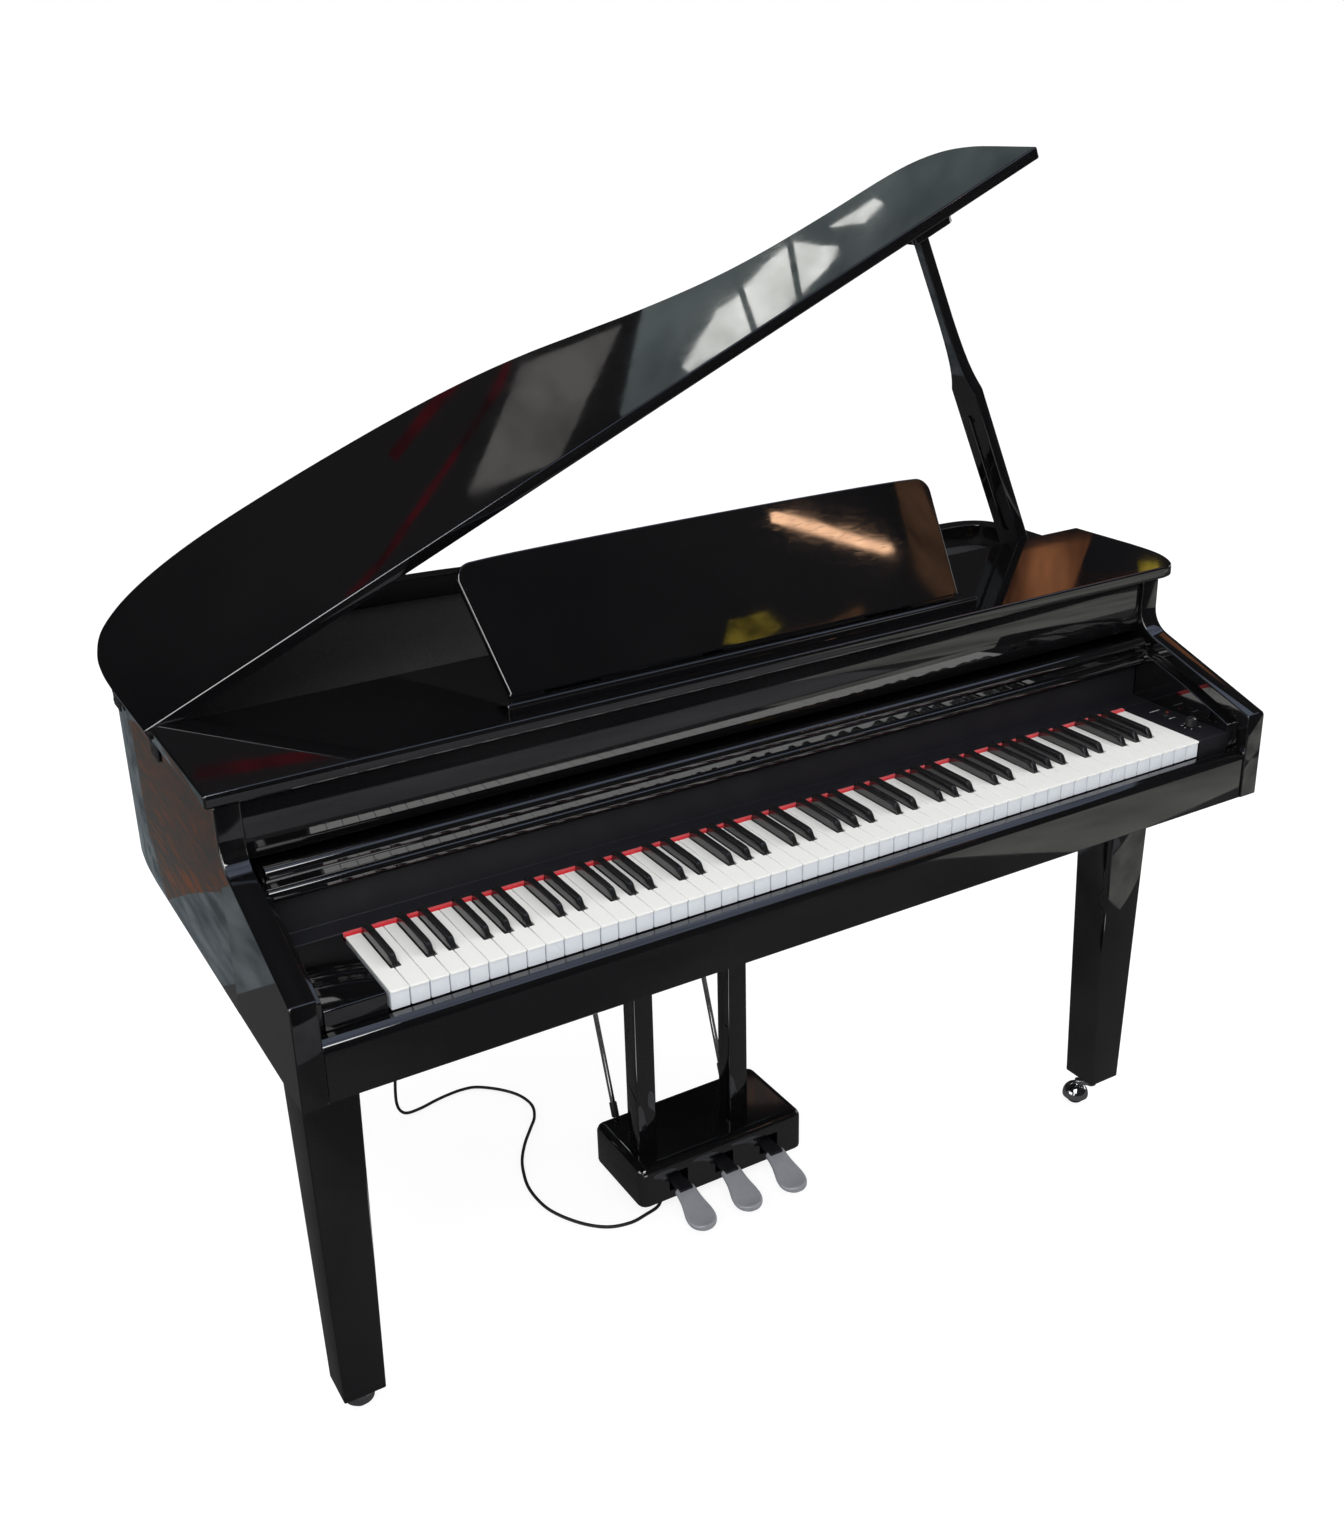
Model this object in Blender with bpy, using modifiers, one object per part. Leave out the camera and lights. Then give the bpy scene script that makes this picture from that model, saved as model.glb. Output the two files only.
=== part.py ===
"""A digital baby grand piano, modelled as separate named solids.

Sizes are in millimetres in the piano's own layout: X from the left end of the keyboard towards the
treble, Y from the front of the white keys towards the tail, Z up from the floor. The function at()
turns them into metres about the origin, which is on the floor at the middle of the footprint.
"""
import math

import bmesh
import bpy
from mathutils import Matrix, Vector

MM = 0.001
CENTRE_X = 623.8
CENTRE_Y = 454.0
GAP = 0.3

# Keyboard
KEY_TOP = 716.0
WHITE_PITCH = 23.5
WHITE_COUNT = 52
KEYBOARD = WHITE_PITCH * WHITE_COUNT
KEY_GAP = 1.0
WHITE_LENGTH = 139.0
KEY_PIVOT_Y = 225.0
KEY_PIVOT_Z = KEY_TOP - 22.0
STEM_FRONT = 120.0
STEM_BACK = KEY_PIVOT_Y + 9.0
STEM_TOP = KEY_TOP - 6.0
BLACK_FRONT = 47.0
BLACK_HEIGHT = 12.0
BLACK_WIDTH = 11.6
BLACK_TOP_WIDTH = 9.2
BLACK_FOOT = KEY_TOP - 30.0
BLACK_SHIFT = {0: -1.6, 1: 1.6, 3: -2.2, 4: 0.0, 5: 2.2}
NOTCH_GAP = 0.7
WHITE_THICK = 24.0
KEY_FRAME_TOP = 664.0

# Case
BODY_BOTTOM = 619.0
BOTTOM_UNDER = 621.0
RIM_TOP = 891.0
BOARD = 18.0
SHELF_TOP = RIM_TOP + BOARD
WALL = 30.0
ARM_FRONT = -24.0
LEFT_OUT = -117.0
LEFT_IN = -86.0
RIGHT_IN = KEYBOARD + 68.0
RIGHT_OUT = KEYBOARD + 99.0
POST_FRONT = 187.0
ARM_BACK = 200.0
SHELF_FRONT = 182.0
SHELF_BACK = 420.0
TRACK = 11.0
SOUNDBOARD_TOP = 856.0

# Lid and prop
LID_FRONT = 422.0
LID_LEFT = -127.0
LID_RIGHT = 1381.0
HINGE_X = -121.0
HINGE_Z = RIM_TOP
HINGE_YS = (448.0, 652.0)
LID_ANGLE = math.radians(23.3)
PROP_Y = 449.0
PROP_X = 1286.0
PROP_Z = 874.0
PROP_ANGLE = math.radians(23.6)
PROP_LENGTH = 566.0
PROP_HALF = 26.5
PROP_TIP_HALF = 7.0
PROP_SHOULDER = 309.0
PROP_TAPER = 70.0
SLOT_START = 52.0
SLOT_END = 266.0
SLOT_HALF = 6.0
SHORT_AT = 62.0
SHORT_LENGTH = 190.0

# Music desk
DESK_ANGLE = math.radians(61.0)
DESK_X = 616.0
DESK_Y = 255.0
DESK_Z = SHELF_TOP + 3.7
STRUT = 80.0

# Key cover
COVER_ANGLE = math.radians(15.0)
LIP_Y = 176.0

# Legs, casters and lyre
LEG_FRONT_Y = 165.0
LEG_LEFT_X = -42.0
LEG_RIGHT_X = 1244.0
LEG_REAR = (138.0, 800.0)
LEG_BOTTOM = 58.0
LEG_HALF_TOP = 37.5
LEG_HALF_FOOT = 28.5
WHEEL_RADIUS = 16.0
CASTER_TRAIL = 23.0
HOOD_Z = 17.0
HOOD_OUT = 20.5
HOOD_IN = 17.9
LYRE_X = 603.0
BOX_WIDTH = 294.0
BOX_FRONT = 289.0
BOX_BACK = 437.0
BOX_BOTTOM = 30.0
BOX_TOP = 98.0
PEDAL_STEP = 82.0
PEDAL_Z = 56.0
PEDAL_BACK = 52.0
POCKET_HALF = 16.5
POST_XS = {"left": 490.0, "right": 654.0}
POST_Y = (325.0, 357.0)
POST_HALF = 16.8
BRACE_XS = {"left": 490.0, "right": 690.0}
BRACE_FOOT_Y = 426.0
BRACE_HEAD_Y = 600.0

for old in list(bpy.data.objects):
    bpy.data.objects.remove(old, do_unlink=True)

PIANO = bpy.data.collections.new("digital_baby_grand")
CUTTERS = bpy.data.collections.new("cutters")
bpy.context.scene.collection.children.link(PIANO)
bpy.context.scene.collection.children.link(CUTTERS)


def material(name, colour, roughness, metallic=0.0, coat=0.0):
    """A Principled material in one colour."""
    mat = bpy.data.materials.new(name)
    mat.use_nodes = True
    shader = mat.node_tree.nodes["Principled BSDF"]
    shader.inputs["Base Color"].default_value = (*colour, 1.0)
    shader.inputs["Roughness"].default_value = roughness
    shader.inputs["Metallic"].default_value = metallic
    shader.inputs["Coat Weight"].default_value = coat
    return mat


GLOSS = material("black_polyester", (0.006, 0.006, 0.007), 0.06, coat=1.0)
MATTE = material("matte_black", (0.018, 0.018, 0.020), 0.55)
WHITE = material("key_white", (0.86, 0.85, 0.80), 0.28)
BLACK_KEY = material("key_black", (0.012, 0.012, 0.013), 0.35)
FELT = material("red_felt", (0.62, 0.01, 0.02), 0.95)
CHROME = material("chrome", (0.80, 0.81, 0.83), 0.10, 1.0)
SATIN = material("satin_steel", (0.62, 0.61, 0.58), 0.30, 1.0)
BRASS = material("brass", (0.72, 0.52, 0.22), 0.25, 1.0)
CLOTH = material("speaker_cloth", (0.16, 0.16, 0.17), 0.90)
CABLE = material("cable_black", (0.015, 0.015, 0.015), 0.50)


def at(x, y, z):
    """A place in the piano's millimetres as a point in metres."""
    return Vector(((x - CENTRE_X) * MM, (y - CENTRE_Y) * MM, z * MM))


def add(name, mesh, mat, place=None, collection=None):
    """Put a mesh in the piano under a name, with its origin at the given place."""
    obj = bpy.data.objects.new(name, mesh)
    (collection or PIANO).objects.link(obj)
    if mat:
        mesh.materials.append(mat)
    if place is not None:
        obj.location = place
    return obj


def mesh_from(bm, name):
    """A new mesh from a bmesh, with its faces pointing out."""
    bmesh.ops.recalc_face_normals(bm, faces=bm.faces)
    mesh = bpy.data.meshes.new(name)
    bm.to_mesh(mesh)
    bm.free()
    return mesh


def soften(obj, width, segments=2, angle=30.0):
    """Round an object's sharp edges by a width in millimetres."""
    bevel = obj.modifiers.new("edges", "BEVEL")
    bevel.width = width * MM
    bevel.segments = segments
    bevel.limit_method = "ANGLE"
    bevel.angle_limit = math.radians(angle)
    return obj


def smooth(obj, angle=35.0):
    """Shade an object smooth, with sharp edges above an angle."""
    obj.data.shade_smooth()
    obj.data.set_sharp_from_angle(angle=math.radians(angle))
    return obj


def box(name, low, high, mat, bevel=0.0, pivot=None, segments=2):
    """A block between two corners, with its origin at the pivot or at its middle."""
    low, high = Vector(low), Vector(high)
    middle = (low + high) / 2 if pivot is None else Vector(pivot)
    bm = bmesh.new()
    bmesh.ops.create_cube(bm, size=1.0)
    size = (high - low) * MM
    shift = ((low + high) / 2 - middle) * MM
    fitted = Matrix.Translation(shift) @ Matrix.Diagonal((*size, 1.0))
    bmesh.ops.transform(bm, matrix=fitted, verts=bm.verts)
    obj = add(name, mesh_from(bm, name), mat, at(*middle))
    if bevel:
        soften(obj, bevel, segments)
    return obj


def extruded(name, outline, depth, mat, place, turn=None):
    """A flat outline in local X and Y, filled and given a depth along local Z about its middle."""
    curve = bpy.data.curves.new(name, "CURVE")
    curve.dimensions = "2D"
    curve.fill_mode = "BOTH"
    curve.extrude = depth * MM / 2
    for ring in (outline if isinstance(outline[0][0], (tuple, list)) else [outline]):
        spline = curve.splines.new("POLY")
        spline.points.add(len(ring) - 1)
        for point, (x, y) in zip(spline.points, ring):
            point.co = (x * MM, y * MM, 0.0, 1.0)
        spline.use_cyclic_u = True
    guide = bpy.data.objects.new(name + "_outline", curve)
    PIANO.objects.link(guide)
    bpy.context.view_layer.update()
    mesh = bpy.data.meshes.new_from_object(guide.evaluated_get(bpy.context.evaluated_depsgraph_get()))
    bpy.data.objects.remove(guide, do_unlink=True)
    bm = bmesh.new()
    bm.from_mesh(mesh)
    bmesh.ops.remove_doubles(bm, verts=bm.verts, dist=1e-6)
    bmesh.ops.recalc_face_normals(bm, faces=bm.faces)
    if turn is not None:
        bmesh.ops.transform(bm, matrix=turn, verts=bm.verts)
    bm.to_mesh(mesh)
    bm.free()
    mesh.materials.clear()
    mesh.name = name
    return add(name, mesh, mat, place)


# Local X, Y, Z of an outline drawn in the side view (its X is the piano's Y, its Y is up).
SIDE = Matrix(((0, 0, 1, 0), (1, 0, 0, 0), (0, 1, 0, 0), (0, 0, 0, 1)))


def plate(name, outline, bottom, top, mat, bevel=0.0, origin=(0.0, 0.0), segments=2):
    """A plan outline between two heights."""
    ring = [(x - origin[0], y - origin[1]) for x, y in outline]
    obj = extruded(name, ring, top - bottom, mat, at(origin[0], origin[1], (top + bottom) / 2))
    if bevel:
        soften(obj, bevel, segments)
    return obj


def rail(name, side_outline, left, right, mat, bevel=0.0, origin=(0.0, 0.0), segments=2):
    """An outline in the side view (Y, Z), run along X from left to right."""
    ring = [(y - origin[0], z - origin[1]) for y, z in side_outline]
    obj = extruded(name, ring, right - left, mat, at((left + right) / 2, origin[0], origin[1]), SIDE)
    if bevel:
        soften(obj, bevel, segments)
    return obj


def turned(name, profile, mat, place, steps=24, axis="Z"):
    """A turned piece: a profile of (radius, height) from top to bottom, screwed round its axis."""
    mesh = bpy.data.meshes.new(name)
    points = [(r * MM, 0.0, h * MM) for r, h in profile]
    mesh.from_pydata(points, [(i, i + 1) for i in range(len(points) - 1)], [])
    obj = add(name, mesh, mat, place)
    screw = obj.modifiers.new("turn", "SCREW")
    screw.steps = steps
    screw.render_steps = steps
    screw.use_merge_vertices = True
    screw.merge_threshold = 0.00001
    if axis == "X":
        obj.rotation_euler = (0.0, math.radians(90.0), 0.0)
    if axis == "Y":
        obj.rotation_euler = (math.radians(-90.0), 0.0, 0.0)
    return obj


def round_bar(name, radius, high, low, mat, place, steps=12, axis="Z"):
    """A round bar between two heights on its axis."""
    return turned(name, [(0.0, high), (radius, high), (radius, low), (0.0, low)], mat, place, steps, axis)


def cutter(obj):
    """Turn an object into a cutter."""
    PIANO.objects.unlink(obj)
    CUTTERS.objects.link(obj)
    obj.hide_render = True
    obj.display_type = "WIRE"
    return obj


def cut(obj, *tools):
    """Take cutters away from an object."""
    for tool in tools:
        boolean = obj.modifiers.new("cut", "BOOLEAN")
        boolean.operation = "DIFFERENCE"
        boolean.solver = "EXACT"
        boolean.object = tool
    return obj


def join(obj, *others):
    """Fuse other solids with an object and keep one body."""
    for other in others:
        boolean = obj.modifiers.new("join", "BOOLEAN")
        boolean.operation = "UNION"
        boolean.solver = "EXACT"
        boolean.object = cutter(other)
    return obj


def flow(points, per_span=5):
    """A smooth path through points (a Catmull-Rom curve)."""
    path = []
    for i in range(len(points) - 1):
        p0 = Vector(points[max(i - 1, 0)])
        p1, p2 = Vector(points[i]), Vector(points[i + 1])
        p3 = Vector(points[min(i + 2, len(points) - 1)])
        for k in range(per_span):
            t = k / per_span
            path.append(0.5 * ((2 * p1) + (p2 - p0) * t + (2 * p0 - 5 * p1 + 4 * p2 - p3) * t * t
                               + (3 * p1 - p0 - 3 * p2 + p3) * t ** 3))
    path.append(Vector(points[-1]))
    return path


def inset(path, distance):
    """A path moved to its left by a distance that may depend on the point."""
    moved = []
    for i, point in enumerate(path):
        along = path[min(i + 1, len(path) - 1)] - path[max(i - 1, 0)]
        normal = Vector((-along.y, along.x)).normalized()
        moved.append(point + normal * distance(point))
    return moved


def behind(path, y):
    """The stretch of a path that lies past a Y, cut exactly there."""
    kept = []
    for p, q in zip(path, path[1:]):
        if (p.y - y) * (q.y - y) < 0.0:
            kept.append(p.lerp(q, (y - p.y) / (q.y - p.y)))
        if q.y > y:
            kept.append(q)
    return kept


def arc(cx, cy, radius, start, end, count=6):
    """Points on an arc, with angles in degrees."""
    turns = [math.radians(start + (end - start) * i / count) for i in range(count + 1)]
    return [(cx + radius * math.cos(a), cy + radius * math.sin(a)) for a in turns]


# The lid's edge from its front right corner round the bentside and the tail to the spine.
LID_CURVE = flow([(LID_RIGHT, 505), (1378, 560), (1361, 607), (1322, 637), (1262, 648), (1150, 651),
                  (1030, 661), (940, 684), (850, 728), (765, 785), (680, 842), (590, 883), (480, 911),
                  (360, 926), (240, 932), (130, 928), (40, 908), (-35, 868), (-88, 808), (-114, 735),
                  (-124, 665), (LID_LEFT, 590)], 3)
LID_EDGE = [Vector((LID_RIGHT, LID_FRONT))] + LID_CURVE + [Vector((LID_LEFT, LID_FRONT))]


def overhang(point):
    """How far the lid reaches past the rim: little at the spine, more round the curve."""
    share = min(max((point.x - LID_LEFT - 12.0) / 160.0, 0.0), 1.0)
    return 10.0 + 18.0 * share * share * (3 - 2 * share)


RIM_CURVE = inset(LID_EDGE, overhang)[1:-1]
RIM_OUT = (flow([(RIGHT_OUT, ARM_BACK + GAP), (1327, 270), (1346, 350), RIM_CURVE[0]], 3)[:-1] + RIM_CURVE
           + [Vector((LEFT_OUT, ARM_BACK + GAP))])
RIM_IN = inset(RIM_OUT, lambda p: WALL)
RIM_IN[0] = Vector((RIGHT_OUT - WALL, ARM_BACK + GAP))
RIM_IN[-1] = Vector((LEFT_OUT + WALL, ARM_BACK + GAP))

rim = plate("rim", [tuple(p) for p in RIM_OUT + RIM_IN[::-1]], BODY_BOTTOM, RIM_TOP, GLOSS, 1.5, segments=1)

ARM = ([(ARM_FRONT, BODY_BOTTOM), (ARM_FRONT, 741.0), (ARM_FRONT + 4.0, 746.5)]
       + [(146.0, 806.5)] + arc(POST_FRONT - 38.0, 843.5, 38.0, -78.0, 0.0, 6)
       + [(POST_FRONT, RIM_TOP), (ARM_BACK, RIM_TOP), (ARM_BACK, BODY_BOTTOM)])

# Each arm carries a strip on its inner cheek, and the key cover slides on the two strips.
TRACK_OUTLINE = [(2.0, 652.4), (2.0, 727.0), (87.0, 761.0), (150.0, 783.0), (178.0, 793.0), (178.0, 652.4)]
for side, arm_xs, track_xs in (("left", (LEFT_OUT, LEFT_IN - GAP), (LEFT_IN - 2.0, LEFT_IN + TRACK)),
                               ("right", (RIGHT_IN + GAP, RIGHT_OUT), (RIGHT_IN - TRACK, RIGHT_IN + 2.0))):
    arm = rail("arm_" + side, ARM, *arm_xs, GLOSS, 2.0)
    smooth(join(arm, rail("track_" + side, TRACK_OUTLINE, *track_xs, GLOSS, 0.8)), 30)

# The fixed shelf on top, with its round front corner on the treble side.
ROUND_CORNER = flow([(1326, SHELF_FRONT), (1347, 189), (1366, 216), (1377, 251), (LID_RIGHT, 300)], 3)
SHELF = ([(LID_LEFT, SHELF_BACK), (LID_LEFT, SHELF_FRONT)] + [tuple(p) for p in ROUND_CORNER]
         + [(LID_RIGHT, SHELF_BACK)])
shelf = plate("music_shelf", SHELF, RIM_TOP + GAP, SHELF_TOP, GLOSS, 3.0)
front_panel = box("front_panel", (LEFT_IN + GAP, 192.0, 816.0),
                  (RIGHT_IN - GAP, ARM_BACK - GAP, RIM_TOP + 2.0), GLOSS)
smooth(join(shelf, front_panel), 30)
NAMEBOARD = [(147.0, 711.0), (147.0, 716.4), (148.2, 717.2), (178.6, 717.2), (178.6, 762.0), (188.0, 762.0),
             (188.0, 711.0)]
rail("nameboard", NAMEBOARD, LEFT_IN + TRACK + GAP, RIGHT_IN - TRACK - GAP, MATTE, 0.4)
box("key_felt", (0.0, 139.6, 712.6), (KEYBOARD, 146.6, 716.2), FELT)

SLIP_UNDER = BODY_BOTTOM + 0.2
KEYSLIP = [(-1.6, 652.0), (-1.6, 690.4), (-2.6, 691.4), (-10.0, 691.4), (-14.5, 690.2), (-18.6, 686.6),
           (-21.0, 682.6), (-22.0, 679.0), (-22.0, SLIP_UNDER), (14.0, SLIP_UNDER), (14.0, 652.0)]
smooth(rail("keyslip", KEYSLIP, LEFT_IN + GAP, RIGHT_IN - GAP, GLOSS, 0.8, segments=1), 25)
keybed = box("keybed", (LEFT_IN + GAP, 14.5, 621.0), (RIGHT_IN - GAP, ARM_BACK, 651.0), MATTE, 0.8)
FLOOR_RING = inset(RIM_IN, lambda p: 0.6)
FLOOR_RING[0].y = FLOOR_RING[-1].y = ARM_BACK + 0.6
bottom_board = plate("bottom_board", [tuple(p) for p in FLOOR_RING], BOTTOM_UNDER, 636.0, MATTE)

# The block at the bass end of the keys and the control panel at the treble end.
PANEL_TOP = KEY_TOP + 0.4
BLOCK_FOOT = KEY_TOP - 58.0
BLOCK_GAP = 3.4
BLOCK = [(0.5, BLOCK_FOOT), (0.5, KEY_TOP - 2.2), (2.5, PANEL_TOP), (146.7, PANEL_TOP), (146.7, BLOCK_FOOT)]
rail("key_block_left", BLOCK, LEFT_IN + TRACK + GAP, -BLOCK_GAP, GLOSS, 0.5)
panel = rail("control_panel", BLOCK, KEYBOARD + BLOCK_GAP, RIGHT_IN - TRACK - GAP, MATTE, 0.5)

BUTTON = (1255.0, 93.0)
KNOB = (1254.0, 45.0)
HOLE_DEPTH = 9.0
for name, place, radius in (("button_hole", BUTTON, 5.4), ("knob_hole", KNOB, 4.4)):
    cut(panel, cutter(round_bar(name, radius, 3.0, -HOLE_DEPTH, None, at(*place, PANEL_TOP), 20)))
smooth(turned("power_button", [(0.0, 2.4), (4.2, 2.4), (5.0, 1.6), (5.0, -7.0), (0.0, -7.0)], MATTE,
              at(*BUTTON, PANEL_TOP), 20))
KNOB_PROFILE = [(0.0, 13.0), (6.6, 13.0), (7.8, 12.0), (8.6, 1.6), (8.6, 0.8), (4.0, 0.8), (4.0, -7.0),
                (0.0, -7.0)]
smooth(turned("volume_knob", KNOB_PROFILE, MATTE, at(*KNOB, PANEL_TOP), 24))

# The soundboard panel inside the rim, covered in speaker cloth, and what hangs under it.
BOARD_RING = behind(FLOOR_RING, 396.0)
SOUNDBOARD_UNDER = SOUNDBOARD_TOP - 10.0
soundboard = plate("soundboard", [tuple(p) for p in BOARD_RING], SOUNDBOARD_UNDER, SOUNDBOARD_TOP, CLOTH)

SPEAKERS = ((210.0, 640.0), (860.0, 560.0))
CONE = [(0.0, 2.0), (80.0, 2.0), (80.0, -4.0), (66.0, -12.0), (40.0, -44.0), (40.0, -66.0), (0.0, -66.0)]
for i, (x, y) in enumerate(SPEAKERS):
    join(soundboard, turned("speaker_%d" % (i + 1), CONE, MATTE, at(x, y, SOUNDBOARD_UNDER), 16))
box("mains_inlet", (120.0, 470.0, 611.0), (168.0, 500.0, 620.7), MATTE, 1.0)


def scale_step(index):
    """A white key's step in the scale from C, 0 to 6; the lowest white key is an A."""
    return (index - 2) % 7


def has_black_after(index):
    """Whether a black key sits on the boundary to the right of a white key."""
    return index < WHITE_COUNT - 1 and scale_step(index) in BLACK_SHIFT


def white_outline(index, pivot_x):
    """The plan of a white key, with the notches that its black neighbours need."""
    left = index * WHITE_PITCH + KEY_GAP / 2 - pivot_x
    right = left + WHITE_PITCH - KEY_GAP
    low, notch, back = 0.0 - KEY_PIVOT_Y, BLACK_FRONT - 1.5 - KEY_PIVOT_Y, WHITE_LENGTH - KEY_PIVOT_Y
    inner_right, inner_left = right, left
    if has_black_after(index):
        inner_right = black_centre(index) - BLACK_WIDTH / 2 - NOTCH_GAP - pivot_x
    if index > 0 and has_black_after(index - 1):
        inner_left = black_centre(index - 1) + BLACK_WIDTH / 2 + NOTCH_GAP - pivot_x
    ring = [(left, low), (right, low)]
    if inner_right < right:
        ring += [(right, notch), (inner_right, notch)]
    ring += [(inner_right, back), (inner_left, back)]
    if inner_left > left:
        ring += [(inner_left, notch), (left, notch)]
    return ring


def black_centre(index):
    """The middle of the black key to the right of a white key."""
    return (index + 1) * WHITE_PITCH + BLACK_SHIFT[scale_step(index)]


def white_key(name, index, pivot_x):
    """A white key: its notched head, and a stem that runs back under the nameboard to the pivot."""
    ring = white_outline(index, pivot_x)
    head = extruded(name, ring, WHITE_THICK, WHITE, at(pivot_x, KEY_PIVOT_Y, KEY_PIVOT_Z))
    for vertex in head.data.vertices:
        vertex.co.z += (KEY_TOP - WHITE_THICK / 2 - KEY_PIVOT_Z) * MM
    xs = [p[0] for p in ring if p[1] > WHITE_LENGTH - KEY_PIVOT_Y - 1.0]
    centre = (min(xs) + max(xs)) / 2 + pivot_x
    stem = box(name + "_stem", (centre - 4.5, STEM_FRONT, KEY_TOP - 17.0),
               (centre + 4.5, STEM_BACK, STEM_TOP), WHITE)
    return head, stem


def black_key(name, index, pivot_x):
    """A black key: sloped sides and front, and a stem that runs back to the pivot."""
    centre = black_centre(index)
    bm = bmesh.new()
    bmesh.ops.create_cube(bm, size=1.0)
    for v in bm.verts:
        top, front = v.co.z > 0, v.co.y < 0
        half = (BLACK_TOP_WIDTH if top else BLACK_WIDTH) / 2
        y = (BLACK_FRONT + (7.0 if top else 0.0)) if front else WHITE_LENGTH
        z = KEY_TOP + BLACK_HEIGHT if top else BLACK_FOOT
        x = math.copysign(half, v.co.x) + centre
        v.co = Vector((x - pivot_x, y - KEY_PIVOT_Y, z - KEY_PIVOT_Z)) * MM
    top_edges = [e for e in bm.edges if all(v.co.z > (KEY_TOP - KEY_PIVOT_Z) * MM for v in e.verts)
                 and not all(v.co.y > (WHITE_LENGTH - KEY_PIVOT_Y - 1.0) * MM for v in e.verts)]
    bmesh.ops.bevel(bm, geom=top_edges, offset=1.2 * MM, segments=1, affect="EDGES")
    head = add(name, mesh_from(bm, name), BLACK_KEY, at(pivot_x, KEY_PIVOT_Y, KEY_PIVOT_Z))
    stem = box(name + "_stem", (centre - 3.5, STEM_FRONT, KEY_TOP - 13.0),
               (centre + 3.5, STEM_BACK, STEM_TOP), BLACK_KEY)
    return head, stem


def merged(name, objects, mat):
    """Put the meshes of several objects into one."""
    bm = bmesh.new()
    bpy.context.view_layer.update()
    for obj in objects:
        first = len(bm.verts)
        bm.from_mesh(obj.data)
        bm.verts.ensure_lookup_table()
        bmesh.ops.transform(bm, matrix=obj.matrix_world, verts=bm.verts[first:])
    mesh = bpy.data.meshes.new(name)
    bm.to_mesh(mesh)
    bm.free()
    for obj in objects:
        bpy.data.objects.remove(obj, do_unlink=True)
    return add(name, mesh, mat)


MIDDLE_C = 23
NAMES = ("c", "d", "e", "f", "g", "a", "b")
SHARPS = {0: "c_sharp", 1: "d_sharp", 3: "f_sharp", 4: "g_sharp", 5: "a_sharp"}


def key_bank(name, heads_and_stems, mat, strip_low, strip_high):
    """Keys that stand still: their heads without stems, fused on a strip that rests on the key frame."""
    heads = [head for head, stem in heads_and_stems]
    for head, stem in heads_and_stems:
        bpy.data.objects.remove(stem, do_unlink=True)
    bank = merged(name, heads, mat)
    return join(bank, box(name + "_strip", strip_low, strip_high, mat))


for side, first, last in (("bass", 0, MIDDLE_C), ("treble", MIDDLE_C + 7, WHITE_COUNT)):
    whites = [white_key("white", i, 0.0) for i in range(first, last)]
    key_bank("keys_" + side, whites, WHITE, (first * WHITE_PITCH + KEY_GAP / 2, 18.0, KEY_FRAME_TOP + GAP),
             (last * WHITE_PITCH - KEY_GAP / 2, 44.0, KEY_TOP - 12.0))
    sharps = [i for i in range(first, last - 1) if has_black_after(i)]
    key_bank("sharps_" + side, [black_key("black", i, 0.0) for i in sharps], BLACK_KEY,
             (black_centre(sharps[0]) - 5.0, 108.0, KEY_FRAME_TOP + GAP),
             (black_centre(sharps[-1]) + 5.0, 136.0, KEY_TOP - WHITE_THICK - 0.5))
for step in range(7):
    index = MIDDLE_C + step
    head, stem = white_key("key_" + NAMES[step] + "4", index, (index + 0.5) * WHITE_PITCH)
    join(head, stem)
    if has_black_after(index):
        head, stem = black_key("key_" + SHARPS[step] + "4", index, black_centre(index))
        join(head, stem)

# The frame under the keys: a base with the balance rail that the keys turn on.
FRAME = [(16.0, 649.0), (16.0, KEY_FRAME_TOP), (170.0, KEY_FRAME_TOP), (205.0, 676.0), (216.0, 697.0),
         (236.0, 697.0), (240.0, 676.0), (240.0, 649.0)]
join(keybed, rail("key_frame", FRAME, 1.0, KEYBOARD - 1.0, MATTE))


# Key cover: a board that slides on the tracks, with a lip of two mouldings.
def slope(y):
    """Height of the cover's underside above its front, along its slide."""
    return (y - LIP_Y) * math.tan(COVER_ANGLE)


COVER = [(LIP_Y - 2.0, 777.0), (LIP_Y - 2.0, 786.0), (LIP_Y + 196.0, 786.0 + slope(LIP_Y + 196.0)),
         (LIP_Y + 196.0, 777.0 + slope(LIP_Y + 196.0))]
cover = rail("key_cover", COVER, LEFT_IN + TRACK + 1.0, RIGHT_IN - TRACK - 1.0, GLOSS)
LIP = ([(LIP_Y, 766.5), (LIP_Y, 811.0), (LIP_Y - 3.0, 811.0)]
       + arc(LIP_Y - 5.0, 803.0, 8.0, 75.0, 250.0, 6)
       + [(LIP_Y - 5.5, 792.0), (LIP_Y - 5.5, 784.0)]
       + arc(LIP_Y - 5.0, 776.0, 8.0, 110.0, 270.0, 6) + [(LIP_Y - 4.0, 766.5)])
lip = rail("lip", LIP, LEFT_IN + TRACK + 1.0, RIGHT_IN - TRACK - 1.0, GLOSS)
smooth(join(cover, lip), 25)

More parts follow.
